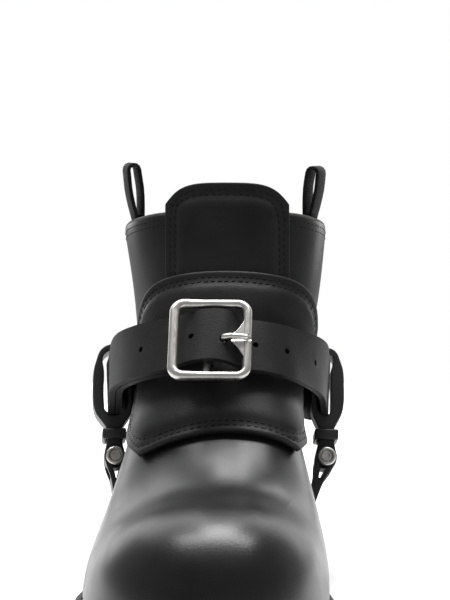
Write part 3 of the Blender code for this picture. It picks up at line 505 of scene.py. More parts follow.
# %% Round the upper off and relax the vamp
VAMP_BACK, VAMP_LOW, VAMP_HIGH = 20 * MM, 26 * MM, 110 * MM
round_off(upper, 2)
vamp_skin = set()
for face in upper.data.polygons:
    if face.material_index == 0 and face.center.y < VAMP_BACK and VAMP_LOW < face.center.z < VAMP_HIGH:
        vamp_skin.update(face.vertices)
for vert in upper.data.vertices:
    vert.select = vert.index in vamp_skin
for part in (*upper.data.edges, *upper.data.polygons):
    part.select = all(index in vamp_skin for index in part.vertices)
pick(upper)
bpy.ops.object.mode_set(mode="EDIT")
bpy.ops.mesh.vertices_smooth(factor=0.5, repeat=10)
bpy.ops.object.mode_set(mode="OBJECT")
fit_on_boot(upper, polished_calf, "leather_upper", "upper")
print("relaxed", len(vamp_skin), "vertices of the vamp")

# %% [markdown]
# ## Creases
# A boot that has been tried on has a few soft creases where the foot bends: beside the ball, and round the
# ankle. They could be sculpted with a brush, which code can't repeat. Each crease here is a short list of
# places on one side of the boot, found on the leather by a ray from that side. It is pressed in with a soft
# round section and a low lip, and fades to nothing at its ends.

# %% A way to press a crease in
CREASE_STEPS, CREASE_REACH, CREASE_LIP = 10, 3, 0.45
FAR_SIDE, SAME_SIDE = 200, 0.3


def skin_tree(piece):
    """A tree that finds the nearest place on a piece's skin."""
    return BVHTree.FromPolygons(
        [vert.co for vert in piece.data.vertices], [tuple(face.vertices) for face in piece.data.polygons]
    )


def nearest_of(spots):
    """A tree that finds the nearest of some points."""
    tree = KDTree(len(spots))
    for i, spot in enumerate(spots):
        tree.insert(spot, i)
    tree.balance()
    return tree


def press_crease(piece, skin, side, spots, depth, half_width):
    """Spots are y and z in millimetres, seen from one side of the boot."""
    line = []
    for (y0, z0), (y1, z1) in zip(spots, spots[1:]):
        for k in range(CREASE_STEPS):
            t = k / CREASE_STEPS
            start = Vector((side * FAR_SIDE, y0 + (y1 - y0) * t, z0 + (z1 - z0) * t)) * MM
            found, normal, _, _ = skin.ray_cast(start, Vector((-side, 0, 0)))
            if found:
                line.append((found, normal))
    tree = nearest_of([found for found, _ in line])
    reach = half_width * MM
    for vert in piece.data.vertices:
        _, i, away = tree.find(vert.co)
        if away < reach * CREASE_REACH and vert.normal.dot(line[i][1]) > SAME_SIDE:
            fade = math.sin(math.pi * (i + 0.5) / len(line))
            lip = CREASE_LIP * math.exp(-(((away - 2 * reach) / reach) ** 2))
            wave = math.exp(-((away / reach) ** 2)) - lip
            vert.co -= vert.normal * depth * MM * fade * wave
    piece.data.update()


print("a crease is pressed in", CREASE_STEPS, "steps from place to place")

# %% Press the creases in
OUTER_SIDE, INNER_SIDE = -1, 1
BALL_CREASE, ANKLE_CREASE = 3.4, 4.0
creases = [
    (OUTER_SIDE, [(-42, 20), (-26, 30), (-14, 44)], 0.55, BALL_CREASE),
    (OUTER_SIDE, [(-22, 22), (-8, 34), (2, 48)], 0.6, BALL_CREASE),
    (INNER_SIDE, [(-36, 20), (-20, 30), (-8, 42)], 0.5, BALL_CREASE),
    (INNER_SIDE, [(-14, 22), (0, 34), (10, 46)], 0.6, BALL_CREASE),
    (OUTER_SIDE, [(62, 96), (88, 92), (112, 98)], 0.8, ANKLE_CREASE),
    (OUTER_SIDE, [(70, 112), (96, 110), (118, 117)], 0.6, ANKLE_CREASE),
    (INNER_SIDE, [(64, 98), (90, 94), (114, 100)], 0.8, ANKLE_CREASE),
    (INNER_SIDE, [(70, 116), (96, 112), (120, 118)], 0.6, ANKLE_CREASE),
]
upper_skin = skin_tree(upper)
for crease in creases:
    press_crease(upper, upper_skin, *crease)
print("pressed", len(creases), "creases")

# %% [markdown]
# ## One stitch
# A seam is one stitch, repeated. The real one is a short length of waxed thread that dives into the leather
# at both ends. A bent wire for each would be closer, but there are hundreds of them, so a small round bead
# with few faces is drawn out to the length of a stitch, and its ends sink into the leather.

# %% Model one stitch
STITCH_LENGTH, STITCH_PITCH, THREAD = 2.3, 3.1, 0.62
let_go()
bpy.ops.mesh.primitive_uv_sphere_add(segments=6, ring_count=4, radius=1)
one_stitch = bpy.context.object
one_stitch.name = "one_stitch"
bpy.ops.object.mode_set(mode="EDIT")
bpy.ops.mesh.select_all(action="SELECT")
bpy.ops.transform.rotate(value=math.radians(90), orient_axis="Y", center_override=(0, 0, 0))
bpy.ops.transform.resize(value=(STITCH_LENGTH / 2 * MM, THREAD / 2 * MM, THREAD / 2 * MM))
bpy.ops.object.mode_set(mode="OBJECT")
bpy.ops.object.shade_smooth()
print("one stitch has", len(one_stitch.data.polygons), "faces")

# %% [markdown]
# ## Rows of stitches
# A row runs at an even distance inside a cut edge, with an even pitch, and each stitch lies flat on the
# leather with the slant of a lock stitch. An Array along a curve could copy the stitches, but it doesn't
# know which way the leather faces. So the row is walked in code, each place is dropped onto the skin, and a
# copy of the stitch is laid there.

# %% Walk a row and sew it
ROW_CLEAR, STITCH_SINK, STITCH_SLANT = 0.86, 0.05, 7.0


def row_inside(edge, inset, skin, pitch=STITCH_PITCH):
    """Evenly spaced points and normals on a skin, a distance in from a closed edge."""
    reach = inset * MM
    kept = []
    for point, _, inward in edge:
        moved = point + inward * reach
        if all((moved - other[0]).length > reach * ROW_CLEAR for other in edge):
            kept.append(moved)
    kept.append(kept[0])
    middle = [(a + b * 2 + c) / 4 for a, b, c in zip(kept, kept[1:], kept[2:])]
    soft = [kept[0]] + middle + [kept[-1]]
    steps = [(b - a).length for a, b in zip(soft, soft[1:])]
    count = max(2, round(sum(steps) / (pitch * MM)))
    row, walked, i = [], 0.0, 0
    for k in range(count):
        want = sum(steps) * (k + 0.5) / count
        while i < len(steps) - 1 and walked + steps[i] < want:
            walked += steps[i]
            i += 1
        spot = soft[i].lerp(soft[i + 1], (want - walked) / max(steps[i], 1e-9))
        place, normal, _, _ = skin.find_nearest(spot)
        row.append((place, normal))
    return row


def sew(name, rows, size=1.0):
    """One mesh with a copy of the stitch at every point of some closed rows."""
    seam = bmesh.new()
    slant = Matrix.Rotation(math.radians(STITCH_SLANT), 4, "Z") @ Matrix.Scale(size, 4)
    for row in rows:
        for i, (place, normal) in enumerate(row):
            along = (row[(i + 1) % len(row)][0] - row[i - 1][0]).normalized()
            across = normal.cross(along).normalized()
            up = along.cross(across).normalized()
            lay = Matrix((along, across, up)).transposed().to_4x4()
            sunk = Matrix.Translation(place - up * STITCH_SINK * MM)
            copy = one_stitch.data.copy()
            copy.transform(sunk @ lay @ slant)
            seam.from_mesh(copy)
            bpy.data.meshes.remove(copy)
    thread = bpy.data.meshes.new(name)
    seam.to_mesh(thread)
    seam.free()
    thread.shade_smooth()
    piece = bpy.data.objects.new(name, thread)
    bpy.context.scene.collection.objects.link(piece)
    fit_on_boot(piece, black_thread, "leather_upper")
    print("rows of", [len(row) for row in rows], "stitches")


print("a stitch every", STITCH_PITCH, "mm, slanted by", STITCH_SLANT, "degrees")

# %% [markdown]
# ## Collar seam
# Two rows round the collar hold the lining to the calf. They could be drawn as curves by eye, but the
# upper's cut edge is known already, so both rows simply keep their distance from it.

# %% Sew the collar
COLLAR_INSETS = (4.0, 6.6)
upper_skin = skin_tree(upper)
sew("collar_stitches", [row_inside(collar_edge, inset, upper_skin) for inset in COLLAR_INSETS])
print("collar sewn", COLLAR_INSETS, "mm below its edge")

# %% [markdown]
# ## Sewn panels
# The two front panels have a soft backing and are sewn twice round. The thread pulls a shallow channel into
# the leather, and the backing plumps the field inside it. A bump in the finish could fake both, but it would
# not change the outline or the way the light rolls over. So the channel is pressed into a fine mesh, where
# each vertex near a row sinks by an amount that fades with distance, and the field is raised the same way.

# %% Find a panel's edge, press a channel, plump the field
CHANNEL_REACH, CHANNEL_SIDE, PLUMP_RUN = 2.5, 0.5, 5


def front_edge(node, name):
    """A panel's cage with the edge of its front skin."""
    piece = cut_leather(node, name)
    cage = bmesh.new()
    cage.from_mesh(piece.data)
    front = max(cage.faces, key=lambda face: (-face.normal.y + 0.4 * face.normal.z) * face.calc_area())
    loops = edge_loops(skin_from(cage, front))
    cage.free()
    return piece, max(loops, key=length_of)


def press_channel(piece, rows, depth, half_width):
    spots = [spot for row in rows for spot in row]
    tree = nearest_of([place for place, _ in spots])
    reach = half_width * MM
    for vert in piece.data.vertices:
        _, i, away = tree.find(vert.co)
        if away < reach * CHANNEL_REACH and vert.normal.dot(spots[i][1]) > CHANNEL_SIDE:
            vert.co -= vert.normal * depth * MM * math.exp(-((away / reach) ** 2))
    piece.data.update()


def ease(share):
    """Starts and ends a change from 0 to 1 gently."""
    share = min(1, max(0, share))
    return share * share * (3 - 2 * share)


def plump_field(piece, edge, inset, rise):
    """Raises the field of a panel inside its seams, as the soft backing under it does."""
    tree = nearest_of([place for place, _, _ in edge])
    for vert in piece.data.vertices:
        _, i, away = tree.find(vert.co)
        share = ease((away / MM - inset) / PLUMP_RUN)
        if share > 0 and vert.normal.dot(edge[i][1]) > SAME_SIDE:
            vert.co += vert.normal * rise * MM * share
    piece.data.update()


print("a field rises over", PLUMP_RUN, "mm inside its seam")

# %% [markdown]
# ## Tongue panel
# The tongue panel is the stiff front of the shaft, and stands above the collar. It could be part of the
# upper, but it is a leather of its own with a visible cut edge, so it stays a piece with its own seam. The
# rows are walked twice: closely for the channel, and at the stitches' pitch on the pressed leather.

# %% Make the tongue panel
PANEL_SKIVE, CHANNEL_PITCH, CHANNEL_WIDTH = 0.7, 1.0, 0.9


def make_front_panel(node, name, seam, insets, channel, field, rise):
    """Cuts a panel, presses and plumps it, and sews it with two rows."""
    piece, edge = front_edge(node, name)
    skive(piece, PANEL_SKIVE)
    round_off(piece, 2)
    plain_skin = skin_tree(piece)
    rows = [row_inside(edge, inset, plain_skin, CHANNEL_PITCH) for inset in insets]
    press_channel(piece, rows, channel, CHANNEL_WIDTH)
    plump_field(piece, edge, field, rise)
    pressed_skin = skin_tree(piece)
    sew(seam, [row_inside(edge, inset, pressed_skin) for inset in insets])
    fit_on_boot(piece, panel_hide, "leather_upper", node)
    return piece


tongue_panel = make_front_panel(
    "tongue_panel", "tongue_panel_leather", "panel_stitches",
    insets=(3.0, 5.4), channel=0.4, field=5.6, rise=1.1,
)
print("sewn:", tongue_panel.name)

# %% [markdown]
# ## Instep shield
# The shield lies over the instep, under the belt, and is padded so that the belt doesn't press the foot. It
# could be inflated by a cloth simulation, but the padding is thin and held by its seams, so it is made as
# the tongue panel is, with a lower rise.

# %% Make the shield
shield = make_front_panel(
    "shield", "instep_shield_leather", "shield_stitches",
    insets=(3.0, 5.2), channel=0.45, field=5.4, rise=0.6,
)
print("sewn and padded:", shield.name)

# %% [markdown]
# ## The harness belt
# The belt is one thick strap that runs round the ankle and over its own buckle. It could be a curve with a
# flat section, but a curve twists where the strap changes direction, and the solid already lies well on the
# boot. Its edges are skived, and one level of subdivision is enough, because a belt stays flat across.

# %% Make the belt
BELT_SKIVE = 0.6
belt = cut_leather("harness_strap", "harness_belt_leather")
skive(belt, BELT_SKIVE, angle=50)
round_off(belt, 1)
crisp_shade(belt, angle=50)
print("belt has", len(belt.data.polygons), "faces before punching")

# %% [markdown]
# ## Punched holes
# The belt is punched where its owner could buckle it. Dark dots in the finish would be quicker, but they
# look painted from the side. So each hole is cut, by a rod that stands square to the leather, with a
# Boolean. The rod is only a tool and is put away afterwards.

# %% Punch the belt's holes
HOLE_RADIUS, PUNCH_LENGTH = 1.3, 5.2
belt_holes = [
    ((-31.41, -5.63, 114.32), (-0.727, -0.566, 0.389)),
    ((-8.40, -22.98, 123.10), (-0.313, -0.742, 0.593)),
    ((19.23, -18.69, 118.69), (0.294, -0.723, 0.626)),
    ((32.90, -11.72, 114.91), (0.664, -0.582, 0.470)),
    ((45.95, 6.04, 106.80), (0.917, -0.369, 0.152)),
]


def add_rod(radius, length, sides, place=Matrix()):
    """A round rod along its place's own z axis; sizes are in millimetres."""
    let_go()
    bpy.ops.mesh.primitive_cylinder_add(vertices=sides, radius=radius * MM, depth=length * MM)
    rod = bpy.context.object
    rod.data.transform(place)
    return rod


def cut_away(tool, name, *pieces):
    """Cuts a tool's shape out of some pieces, and puts the tool away."""
    for piece in pieces:
        cut = piece.modifiers.new(name, "BOOLEAN")
        cut.object = tool
        apply_modifiers(piece)
    bpy.data.objects.remove(tool)


for place, out in belt_holes:
    turn = Vector(out).to_track_quat("Z", "Y").to_matrix().to_4x4()
    punch = add_rod(HOLE_RADIUS, PUNCH_LENGTH, 24, Matrix.Translation(Vector(place) * MM) @ turn)
    cut_away(punch, "punched_hole", belt)
fit_on_boot(belt, belt_hide, "leather_strap", "harness_strap")
print("punched", len(belt_holes), "holes of", 2 * HOLE_RADIUS, "mm")

# %% [markdown]
# ## Place of the buckle
# The buckle lies on the front of the belt, with its bar under the folded end. Its pieces could be modelled
# straight on the slope of the instep, but square work is far easier, so they are drawn flat and a matrix
# then carries them to their place. The frame hangs loosely on its bar and stands upright, so it has a small
# roll of its own.

# %% Place the buckle
buckle_place = Matrix((
    (0.99045, 0.13733, -0.01224, 0.00019),
    (-0.09559, 0.62006, -0.77871, -0.00971),
    (-0.09935, 0.77244, 0.62726, 0.10988),
    (0, 0, 0, 1),
))
FRAME_ROLL = 7.5
frame_place = buckle_place @ Matrix.Rotation(math.radians(FRAME_ROLL), 4, "Z")
FRAME_WIDTH, FRAME_HEIGHT, FRAME_CORNER, WIRE = 31.5, 35.4, 4.4, 1.9
FRAME_LEVEL, BAR_LEVEL = 19.0, 15.4
print("buckle sits at", rounded([buckle_place.translation]))

# %% [markdown]
# ## Buckle frame
# The frame is a bent wire, stouter on the side where it was closed. A torus has no straight sides, and a
# bevelled box has no round section, so a plane's outline is kept, its corners are rounded, and it becomes a
# curve with a round bevel. The curve's radius swells on the stout side.

# %% Bend the frame
STOUT, STOUT_FROM, STOUT_RUN = 0.18, 8, 5
let_go()
bpy.ops.mesh.primitive_plane_add(size=1)
buckle = bpy.context.object
buckle.name = "buckle_frame_metal"
bpy.ops.object.mode_set(mode="EDIT")
bpy.ops.mesh.select_all(action="SELECT")
bpy.ops.transform.resize(value=(FRAME_WIDTH * MM, FRAME_HEIGHT * MM, 1))
bpy.ops.mesh.delete(type="ONLY_FACE")
bpy.ops.mesh.select_all(action="SELECT")
bpy.ops.mesh.bevel(offset=FRAME_CORNER * MM, segments=8, affect="VERTICES")
bpy.ops.mesh.select_all(action="SELECT")
bpy.ops.mesh.subdivide(number_cuts=2)
bpy.ops.object.mode_set(mode="OBJECT")
bpy.ops.object.convert(target="CURVE")
wire = buckle.data
wire.bevel_depth = WIRE * MM
wire.bevel_resolution = 5
for spline in wire.splines:
    for point in spline.points:
        point.radius = 1 + STOUT * ease((-point.co.x / MM - STOUT_FROM) / STOUT_RUN)
bpy.ops.object.convert(target="MESH")
buckle = bpy.context.object
buckle.data.transform(Matrix.Translation((0, 0, FRAME_LEVEL * MM)))
print("frame bent with", len(buckle.data.polygons), "faces")

# %% [markdown]
# ## Lug, groove and bar
# A flattened lug points inwards from the frame and carries the prong's tip in a groove, and a bar holds the
# belt's folded end. The lug could be extruded from the wire, but its flare needs a smooth curve. So it is a
# grid whose rows widen towards the frame, thickened by Solidify. The groove is cut from lug and frame with
# one rod, so that it runs through both.

# %% Shape the lug
LUG_LENGTH, LUG_TIP, LUG_FLARE, LUG_THICK = 7.4, 2.6, 10.4, 2.2
LUG_CURVE, LUG_TIP_ROUND, LUG_OVERLAP, LUG_LIFT, LUG_EDGE = 1.35, 0.9, 0.6, 0.3, 0.8
let_go()
bpy.ops.mesh.primitive_grid_add(x_subdivisions=10, y_subdivisions=8, size=1)
lug = bpy.context.object
for vert in lug.data.vertices:
    reach = vert.co.x + 0.5
    half = LUG_TIP + LUG_FLARE * reach**LUG_CURVE
    tip_round = LUG_TIP_ROUND * (1 - reach) * (2 * vert.co.y) ** 2
    vert.co.x = (FRAME_WIDTH / 2 + LUG_OVERLAP - LUG_LENGTH * (1 - reach) + tip_round) * MM
    vert.co.y *= 2 * half * MM
    vert.co.z = (FRAME_LEVEL + LUG_LIFT) * MM
plate = lug.modifiers.new("plate", "SOLIDIFY")
plate.thickness = LUG_THICK * MM
plate.offset = 0
apply_modifiers(lug)
skive(lug, LUG_EDGE, angle=50, segments=4)
print("lug shaped with", len(lug.data.polygons), "faces")

# %% Cut the groove, add the bar and join the buckle
GROOVE_RADIUS, GROOVE_LENGTH, GROOVE_MIDDLE, GROOVE_LIFT = 2.0, 30, 14, 2.4
BAR_RADIUS, BAR_LENGTH = 1.6, FRAME_HEIGHT - 1
groove_place = Matrix.Translation((GROOVE_MIDDLE * MM, 0, (FRAME_LEVEL + GROOVE_LIFT) * MM))
groove = add_rod(GROOVE_RADIUS, GROOVE_LENGTH, 32, groove_place @ Matrix.Rotation(math.pi / 2, 4, "Y"))
cut_away(groove, "prong_groove", lug, buckle)
bar_place = Matrix.Translation((0, 0, BAR_LEVEL * MM)) @ Matrix.Rotation(math.pi / 2, 4, "X")
bar = add_rod(BAR_RADIUS, BAR_LENGTH, 24, bar_place)
buckle.data.transform(frame_place)
lug.data.transform(frame_place)
bar.data.transform(buckle_place)
pick(buckle)
lug.select_set(True)
bar.select_set(True)
bpy.ops.object.join()
crisp_shade(buckle)
fit_on_boot(buckle, satin_nickel, "satin_metal", "buckle_frame")
print("frame rolled upright by", FRAME_ROLL, "degrees")

# %% [markdown]
# ## Prong
# The prong is a stout pin that comes up through the belt, bends over its edge and lies in the lug's groove.
# A curve with a bevel would do, but its section pinches at a tight bend. So a circle is copied along the
# line, square to it at every place and thinner towards the tip, and the rings are joined to a tube.

# %% Draw the prong
PRONG_LINE = [(2.8, 15.4), (4.4, 18.6), (6.2, 21.5), (8.6, 22.1), (12.0, 21.9), (16.2, 21.5)]
PRONG_RADII = [1.45, 1.45, 1.45, 1.4, 1.25, 1.0]
let_go()
bpy.ops.mesh.primitive_circle_add(vertices=20, radius=PRONG_RADII[0] * MM, fill_type="NGON")
prong = bpy.context.object
prong.name = "buckle_prong_metal"
shape = bmesh.new()
shape.from_mesh(prong.data)
start = list(shape.verts)
rings = []
for i, ((x, z), radius) in enumerate(zip(PRONG_LINE, PRONG_RADII)):
    before = PRONG_LINE[max(0, i - 1)]
    after = PRONG_LINE[min(len(PRONG_LINE) - 1, i + 1)]
    lean = Matrix.Rotation(math.atan2(after[0] - before[0], after[1] - before[1]), 4, "Y")
    taper = Matrix.Scale(radius / PRONG_RADII[0], 4)
    lay = Matrix.Translation((x * MM, 0, z * MM)) @ lean @ taper
    rings.append([shape.verts.new(lay @ vert.co) for vert in start])
for low, high in zip(rings, rings[1:]):
    for i in range(len(low)):
        j = (i + 1) % len(low)
        shape.faces.new((low[i], low[j], high[j], high[i]))
shape.faces.new(rings[0])
shape.faces.new(rings[-1])
bmesh.ops.delete(shape, geom=start, context="VERTS")
bmesh.ops.recalc_face_normals(shape, faces=shape.faces)
shape.to_mesh(prong.data)
shape.free()
print("prong drawn through", len(rings), "rings")

# %% Round the prong's ends and lay it in the frame
PRONG_EDGE = 0.5
skive(prong, PRONG_EDGE, angle=60, segments=3)
prong.data.transform(frame_place)
crisp_shade(prong)
fit_on_boot(prong, satin_nickel, "satin_metal", "buckle_prong")

# %% [markdown]
# ## Side straps
# On each side a thick strap of waxed hide loops round the belt and hangs on a bolt. It is stouter outside
# the belt than its solid, and the low end of its eye hugs the belt's edge. The loop could be bent anew, but
# only its arm and its eye differ. So the solid's own cage is used: vertices of the outer arm move outwards,
# and those that face into the eye close it up from below. Both are easiest in the bolt's own axes.

# %% Places of the bolts that the side straps hang on
bolt_places = {
    "outer": Matrix((
        (-0.99202, -0.04497, -0.11776, -0.0482),
        (-0.12605, 0.34784, 0.92904, 0.04964),
        (-0.00082, 0.93647, -0.35074, 0.05255),
        (0, 0, 0, 1),
    )),
    "inner": Matrix((
        (-0.99953, 0.01128, -0.0284, 0.05164),
        (-0.02246, 0.35882, 0.93314, 0.05144),
        (0.02071, 0.93334, -0.3584, 0.05244),
        (0, 0, 0, 1),
    )),
}
print("bolts at", rounded(place.translation for place in bolt_places.values()))

# %% Fill the side straps out round the belt
EYE_LOW, EYE_TOP, EYE_FILLED, EYE_MIDDLE = 12.5, 24.0, 19.8, 32.0
ARM_LOW, ARM_TOP, ARM_FADE = 19, 47, 5
ARM_FILL = {"outer": (1, 5.9, 2.0, 0.8), "inner": (-1, 4.3, 2.7, 1.0)}
SIDE_STRAP_SKIVE = 0.8


def stout_arm(piece, place, outward, inside, tighten, swell):
    """Thickens a side strap's arm outside the belt and fills the low end of its eye."""
    to_strap = place.inverted()
    turn = to_strap.to_3x3()
    for vert in piece.data.vertices:
        spot = (to_strap @ vert.co) / MM
        faces = turn @ vert.normal
        in_eye = faces.x * -spot.x + faces.y * (EYE_MIDDLE - spot.y) > 0
        if in_eye and EYE_LOW < spot.y < EYE_TOP:
            share = (spot.y - EYE_LOW) / (EYE_TOP - EYE_LOW)
            spot.y = EYE_FILLED + share * (EYE_TOP - EYE_FILLED)
            vert.co = place @ (spot * MM)
        beside = spot.x * outward
        if beside > 0 and ARM_LOW < spot.y < ARM_TOP:
            fade = min(1, (spot.y - ARM_LOW) / ARM_FADE, (ARM_TOP - spot.y) / ARM_FADE)
            beside += fade * (swell if beside > inside + 1 else -tighten)
            spot.x = beside * outward
            vert.co = place @ (spot * MM)
    piece.data.update()


for side, place in bolt_places.items():
    piece = cut_leather(f"side_strap_{side}", f"side_strap_{side}_leather")
    stout_arm(piece, place, *ARM_FILL[side])
    skive(piece, SIDE_STRAP_SKIVE, angle=50)
    round_off(piece, 2)
    fit_on_boot(piece, side_hide_with_painted_sheen, "leather_strap", f"side_strap_{side}")

# %% [markdown]
# ## Neck bands and stirrups
# A band pinches each side strap between the belt and the bolt, and a stirrup strap goes on from the bolt
# down to the welt. Both are short and flat, of the same waxed hide. A Subdivision Surface would pull their
# corners in, so a bevel of three segments rounds their edges alone.

# %% Make the neck bands and the stirrups
STRAP_SKIVES = {"neck_band": 0.8, "stirrup": 0.6}


def make_flat_strap(node, name, edge, segments, finish, slot):
    """A flat strap with rounded edges and crisp corners."""
    strap = cut_leather(node, name)
    skive(strap, edge, angle=50, segments=segments)
    crisp_shade(strap, angle=35)
    fit_on_boot(strap, finish, slot, node)


for side in bolt_places:
    for node, edge in STRAP_SKIVES.items():
        make_flat_strap(f"{node}_{side}", f"{node}_{side}_leather", edge, 3, side_hide_with_painted_sheen, "leather_strap")

# %% [markdown]
# ## Bolts
# Each bolt has a round head at both ends, with a dished face and a socket for the key. A Boolean could sink
# the dish and the socket, but it leaves long thin faces on such a small part. So a cylinder is bevelled for
# the rim, and its face is inset step by step: down into the dish, up to the middle, and into the socket.

# %% Turn a bolt's head
SHANK, HEAD, HEAD_DEPTH, BOLT_HALF, HEAD_RIM = 2.5, 4.3, 2.2, 11.3, 0.7
HEAD_STEPS = [(0.3, 0.0), (0.6, -0.8), (0.5, 0.6), (0.7, 0.0), (0.15, -1.3)]


def turn_head(end):
    """A head with a rounded rim, a dished face and a raised middle with a socket in it."""
    head = add_rod(HEAD, HEAD_DEPTH, 40)
    skive(head, HEAD_RIM, angle=60, segments=4)
    bpy.ops.object.mode_set(mode="EDIT")
    bpy.ops.mesh.select_mode(type="FACE")
    bpy.ops.mesh.select_all(action="DESELECT")
    bpy.ops.object.mode_set(mode="OBJECT")
    max(head.data.polygons, key=lambda face: -face.normal.z * face.area).select = True
    bpy.ops.object.mode_set(mode="EDIT")
    for ring, rise in HEAD_STEPS:
        bpy.ops.mesh.inset(thickness=ring * MM, depth=rise * MM)
    bpy.ops.mesh.select_mode(type="VERT")
    bpy.ops.object.mode_set(mode="OBJECT")
    if end > 0:
        head.data.transform(Matrix.Rotation(math.pi, 4, "X"))
    head.data.transform(Matrix.Translation((0, 0, end * (BOLT_HALF + HEAD_DEPTH / 2) * MM)))
    return head


print("a head is", 2 * HEAD, "mm wide and has", len(HEAD_STEPS), "insets")

# %% Make the bolts
for side, place in bolt_places.items():
    heads = [turn_head(-1), turn_head(1)]
    bolt = add_rod(SHANK, 2 * BOLT_HALF, 32)
    bolt.name = f"bolt_{side}_metal"
    for head in heads:
        head.select_set(True)
    bpy.ops.object.join()
    bolt.data.transform(place)
    crisp_shade(bolt)
    fit_on_boot(bolt, satin_nickel, "satin_metal", f"bolt_{side}")

# %% [markdown]
# ## Pull loops
# Two loops of woven tape stand up from the collar, one on each side, with their ends sewn inside it. Cloth
# would hang, and these stand, because the tape is stiff and folded. So they are flat straps like the neck
# bands, with a finer edge, and the weave is left to their finish.

# %% Make the pull loops
TAPE_EDGE = 0.4
for side in bolt_places:
    make_flat_strap(f"pull_loop_{side}", f"pull_loop_{side}_tape", TAPE_EDGE, 2, black_tape, "tape")

# %% [markdown]
# ## Insole and welt
# The bottom is built in layers. The insole closes the inside, and the welt is the rim on which upper and
# sole meet. A coarse row of thicker thread on the welt goes through to the outsole. The welt's edge could be
# rounded first and then sewn, but its rim is easiest to find on the plain cage, so it is kept from there.

# %% Make the insole
INSOLE_SKIVE = 0.6
insole = cut_leather("insole", "insole_leather")
skive(insole, INSOLE_SKIVE)
crisp_shade(insole)
fit_on_boot(insole, lining_hide, "insole", "insole")

# %% Make the welt and sew it
WELT_SKIVE, WELT_LEVEL = 0.6, 0.6
WELT_INSET, WELT_PITCH, WELT_THREAD = 2.4, 4.6, 1.5
welt = cut_leather("welt", "welt_leather")
cage = bmesh.new()
cage.from_mesh(welt.data)
welt_top = {face for face in cage.faces if face.normal.z > WELT_LEVEL}
welt_rim = max(edge_loops(welt_top), key=length_of)
cage.free()
skive(welt, WELT_SKIVE, angle=50)
crisp_shade(welt)
sew("welt_stitches", [row_inside(welt_rim, WELT_INSET, skin_tree(welt), WELT_PITCH)], size=WELT_THREAD)
fit_on_boot(welt, welt_edge, "welt", "welt")

# %% [markdown]
# ## Outsole and heel
# The outsole is one sheet of rubber, and the heel is a stack of leather lifts with a rubber top piece. The
# lifts could be separate slabs, but they are glued and trimmed as one. So the heel stays one piece, and a
# fine line is scribed round it where one lift meets the next: three level cuts, the middle one drawn inwards.

# %% Make the outsole and the heel
SOLE_EDGE = 0.7
LIFT_LINES, LINE_DEPTH, LINE_HALF, LINE_NEAR = (6.0, 12.0, 17.5), 0.35, 0.3, 0.02
UPRIGHT_WALL = 0.3


def scribe_line(piece, height):
    """Cuts a fine line round a piece at a height in millimetres."""
    pick(piece)
    bpy.ops.object.mode_set(mode="EDIT")
    for level in (height - LINE_HALF, height, height + LINE_HALF):
        bpy.ops.mesh.select_all(action="SELECT")
        bpy.ops.mesh.bisect(plane_co=(0, 0, level * MM), plane_no=(0, 0, 1))
    bpy.ops.object.mode_set(mode="OBJECT")
    for vert in piece.data.vertices:
        if abs(vert.co.z - height * MM) < LINE_NEAR * MM:
            level_out = Vector((vert.normal.x, vert.normal.y, 0))
            if level_out.length > UPRIGHT_WALL:
                vert.co -= level_out.normalized() * LINE_DEPTH * MM
    piece.data.update()


for node, finish, lines in (("outsole", sole_rubber, ()), ("heel", heel_stack, LIFT_LINES)):
    layer = cut_leather(node, f"{node}_layer")
    skive(layer, SOLE_EDGE, angle=50, segments=3)
    for height in lines:
        scribe_line(layer, height)
    crisp_shade(layer)
    fit_on_boot(layer, finish, "outsole", node)

# %% [markdown]
# ## Floor
# The boot stands on a pale floor. A large plane would do, but a round one shows no corner from any side. It
# belongs to the stage and not to the boot. The loose stitch that the seams were copied from goes away now.

# %% Lay the floor
FLOOR_RADIUS = 0.55
bpy.data.objects.remove(one_stitch)
let_go()
bpy.ops.mesh.primitive_circle_add(vertices=96, radius=FLOOR_RADIUS, fill_type="NGON")
floor = bpy.context.object
floor.name = "studio_floor"
floor_paint, _, _ = new_finish("pale_floor", (0.92, 0.92, 0.92), 0.9)
floor.data.materials.append(floor_paint)
floor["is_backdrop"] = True
print("floor laid,", 2 * FLOOR_RADIUS, "m across")

# %% [markdown]
# ## Lights
# Black leather shows its shape only through what it reflects. Small lamps would leave dots, so there are
# five soft boxes: one overhead, a small one for the crown of the toe, a wide weak one behind, and an upright
# one at each side. Each draws a long band of gloss that follows the roundness of the leather.

# %% Hang the soft boxes
AT_TOE, AT_ANKLE = (0, 0, 0.05), (0, 0, 0.1)
soft_boxes = [
    ("overhead_softbox", (0.0, 0.2, 1.15), AT_TOE, 1.3, 0.3, 20),
    ("crown_softbox", (0.0, 0.47, 1.075), AT_TOE, 0.4, 0.28, 6.1),
    ("rear_softbox", (-0.12, 0.86, 0.86), AT_TOE, 1.7, 0.3, 5.5),
    ("left_softbox", (-0.75, 1.1, 0.45), AT_ANKLE, 0.5, 0.9, 3),
    ("right_softbox", (0.75, 1.1, 0.45), AT_ANKLE, 0.5, 0.9, 3),
]
for name, place, aim, width, height, watts in soft_boxes:
    light = bpy.data.lights.new(name, "AREA")
    light.shape = "RECTANGLE"
    light.size = width
    light.size_y = height
    light.energy = watts
    box = bpy.data.objects.new(name, light)
    box.location = place
    box.rotation_euler = (Vector(aim) - Vector(place)).to_track_quat("-Z", "Y").to_euler()
    bpy.context.scene.collection.objects.link(box)
print("hung", len(soft_boxes), "soft boxes")

# %% [markdown]
# ## Sweep
# Behind the boot is a pale sweep. If it also lit the boot at full strength, the leather would look grey. So
# the world has two backgrounds: the pale one that is seen directly, and a dimmer room for all other rays.

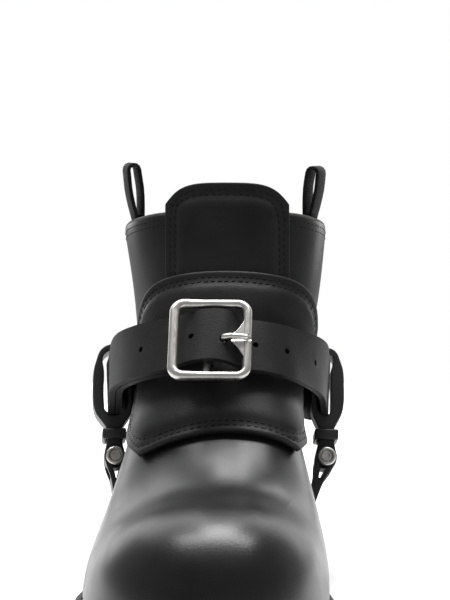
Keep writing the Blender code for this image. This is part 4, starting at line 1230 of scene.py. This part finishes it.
# %% Light the room
ROOM_STRENGTH, SWEEP_STRENGTH = 0.38, 1.0
world = bpy.data.worlds.new("studio_sweep")
bpy.context.scene.world = world
world.use_nodes = True
nodes, links = world.node_tree.nodes, world.node_tree.links
dim_room = nodes["Background"]
pale_sweep = nodes.new("ShaderNodeBackground")
for background, strength in ((dim_room, ROOM_STRENGTH), (pale_sweep, SWEEP_STRENGTH)):
    background.inputs["Color"].default_value = (1, 1, 1, 1)
    background.inputs["Strength"].default_value = strength
seen = nodes.new("ShaderNodeLightPath")
either = nodes.new("ShaderNodeMixShader")
links.new(seen.outputs["Is Camera Ray"], either.inputs["Fac"])
links.new(dim_room.outputs["Background"], either.inputs[1])
links.new(pale_sweep.outputs["Background"], either.inputs[2])
links.new(either.outputs["Shader"], nodes["World Output"].inputs["Surface"])
bpy.context.scene.view_settings.view_transform = "Standard"
print("room at", ROOM_STRENGTH, "and sweep at", SWEEP_STRENGTH)

# %% [markdown]
# ## Camera
# The camera stands in front of the toe, a little to one side and above the boot, and looks slightly down. A
# wide lens up close would swell the toe. A long lens from further off keeps the boot's proportions, and a
# small shift centres the view without turning it.

# %% Set up the camera
CAMERA_AWAY, CAMERA_HIGH = 0.778, 0.240
CAMERA_AROUND, CAMERA_DOWN = math.radians(2), 7.65
camera = bpy.data.objects.new("camera", bpy.data.cameras.new("camera"))
bpy.context.scene.collection.objects.link(camera)
camera.data.sensor_fit = "VERTICAL"
camera.data.sensor_height = 36
camera.data.lens = 107.22
camera.data.shift_x = 0.021
aside, in_front = CAMERA_AWAY * math.sin(CAMERA_AROUND), -CAMERA_AWAY * math.cos(CAMERA_AROUND)
camera.location = (aside, in_front, CAMERA_HIGH)
camera.rotation_euler = (math.radians(90 - CAMERA_DOWN), 0, CAMERA_AROUND)
bpy.context.scene.camera = camera
print("camera stands at", rounded([camera.location]))

# %% [markdown]
# ## Sizes
# Dressing must not make the boot bigger. The box of the solids was kept at the start, and the box of the
# dressed boot is measured now, so both are printed.

# %% Write the sizes and finish
dressed_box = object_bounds()
print("dressed boot, low and high corner:", rounded(dressed_box))
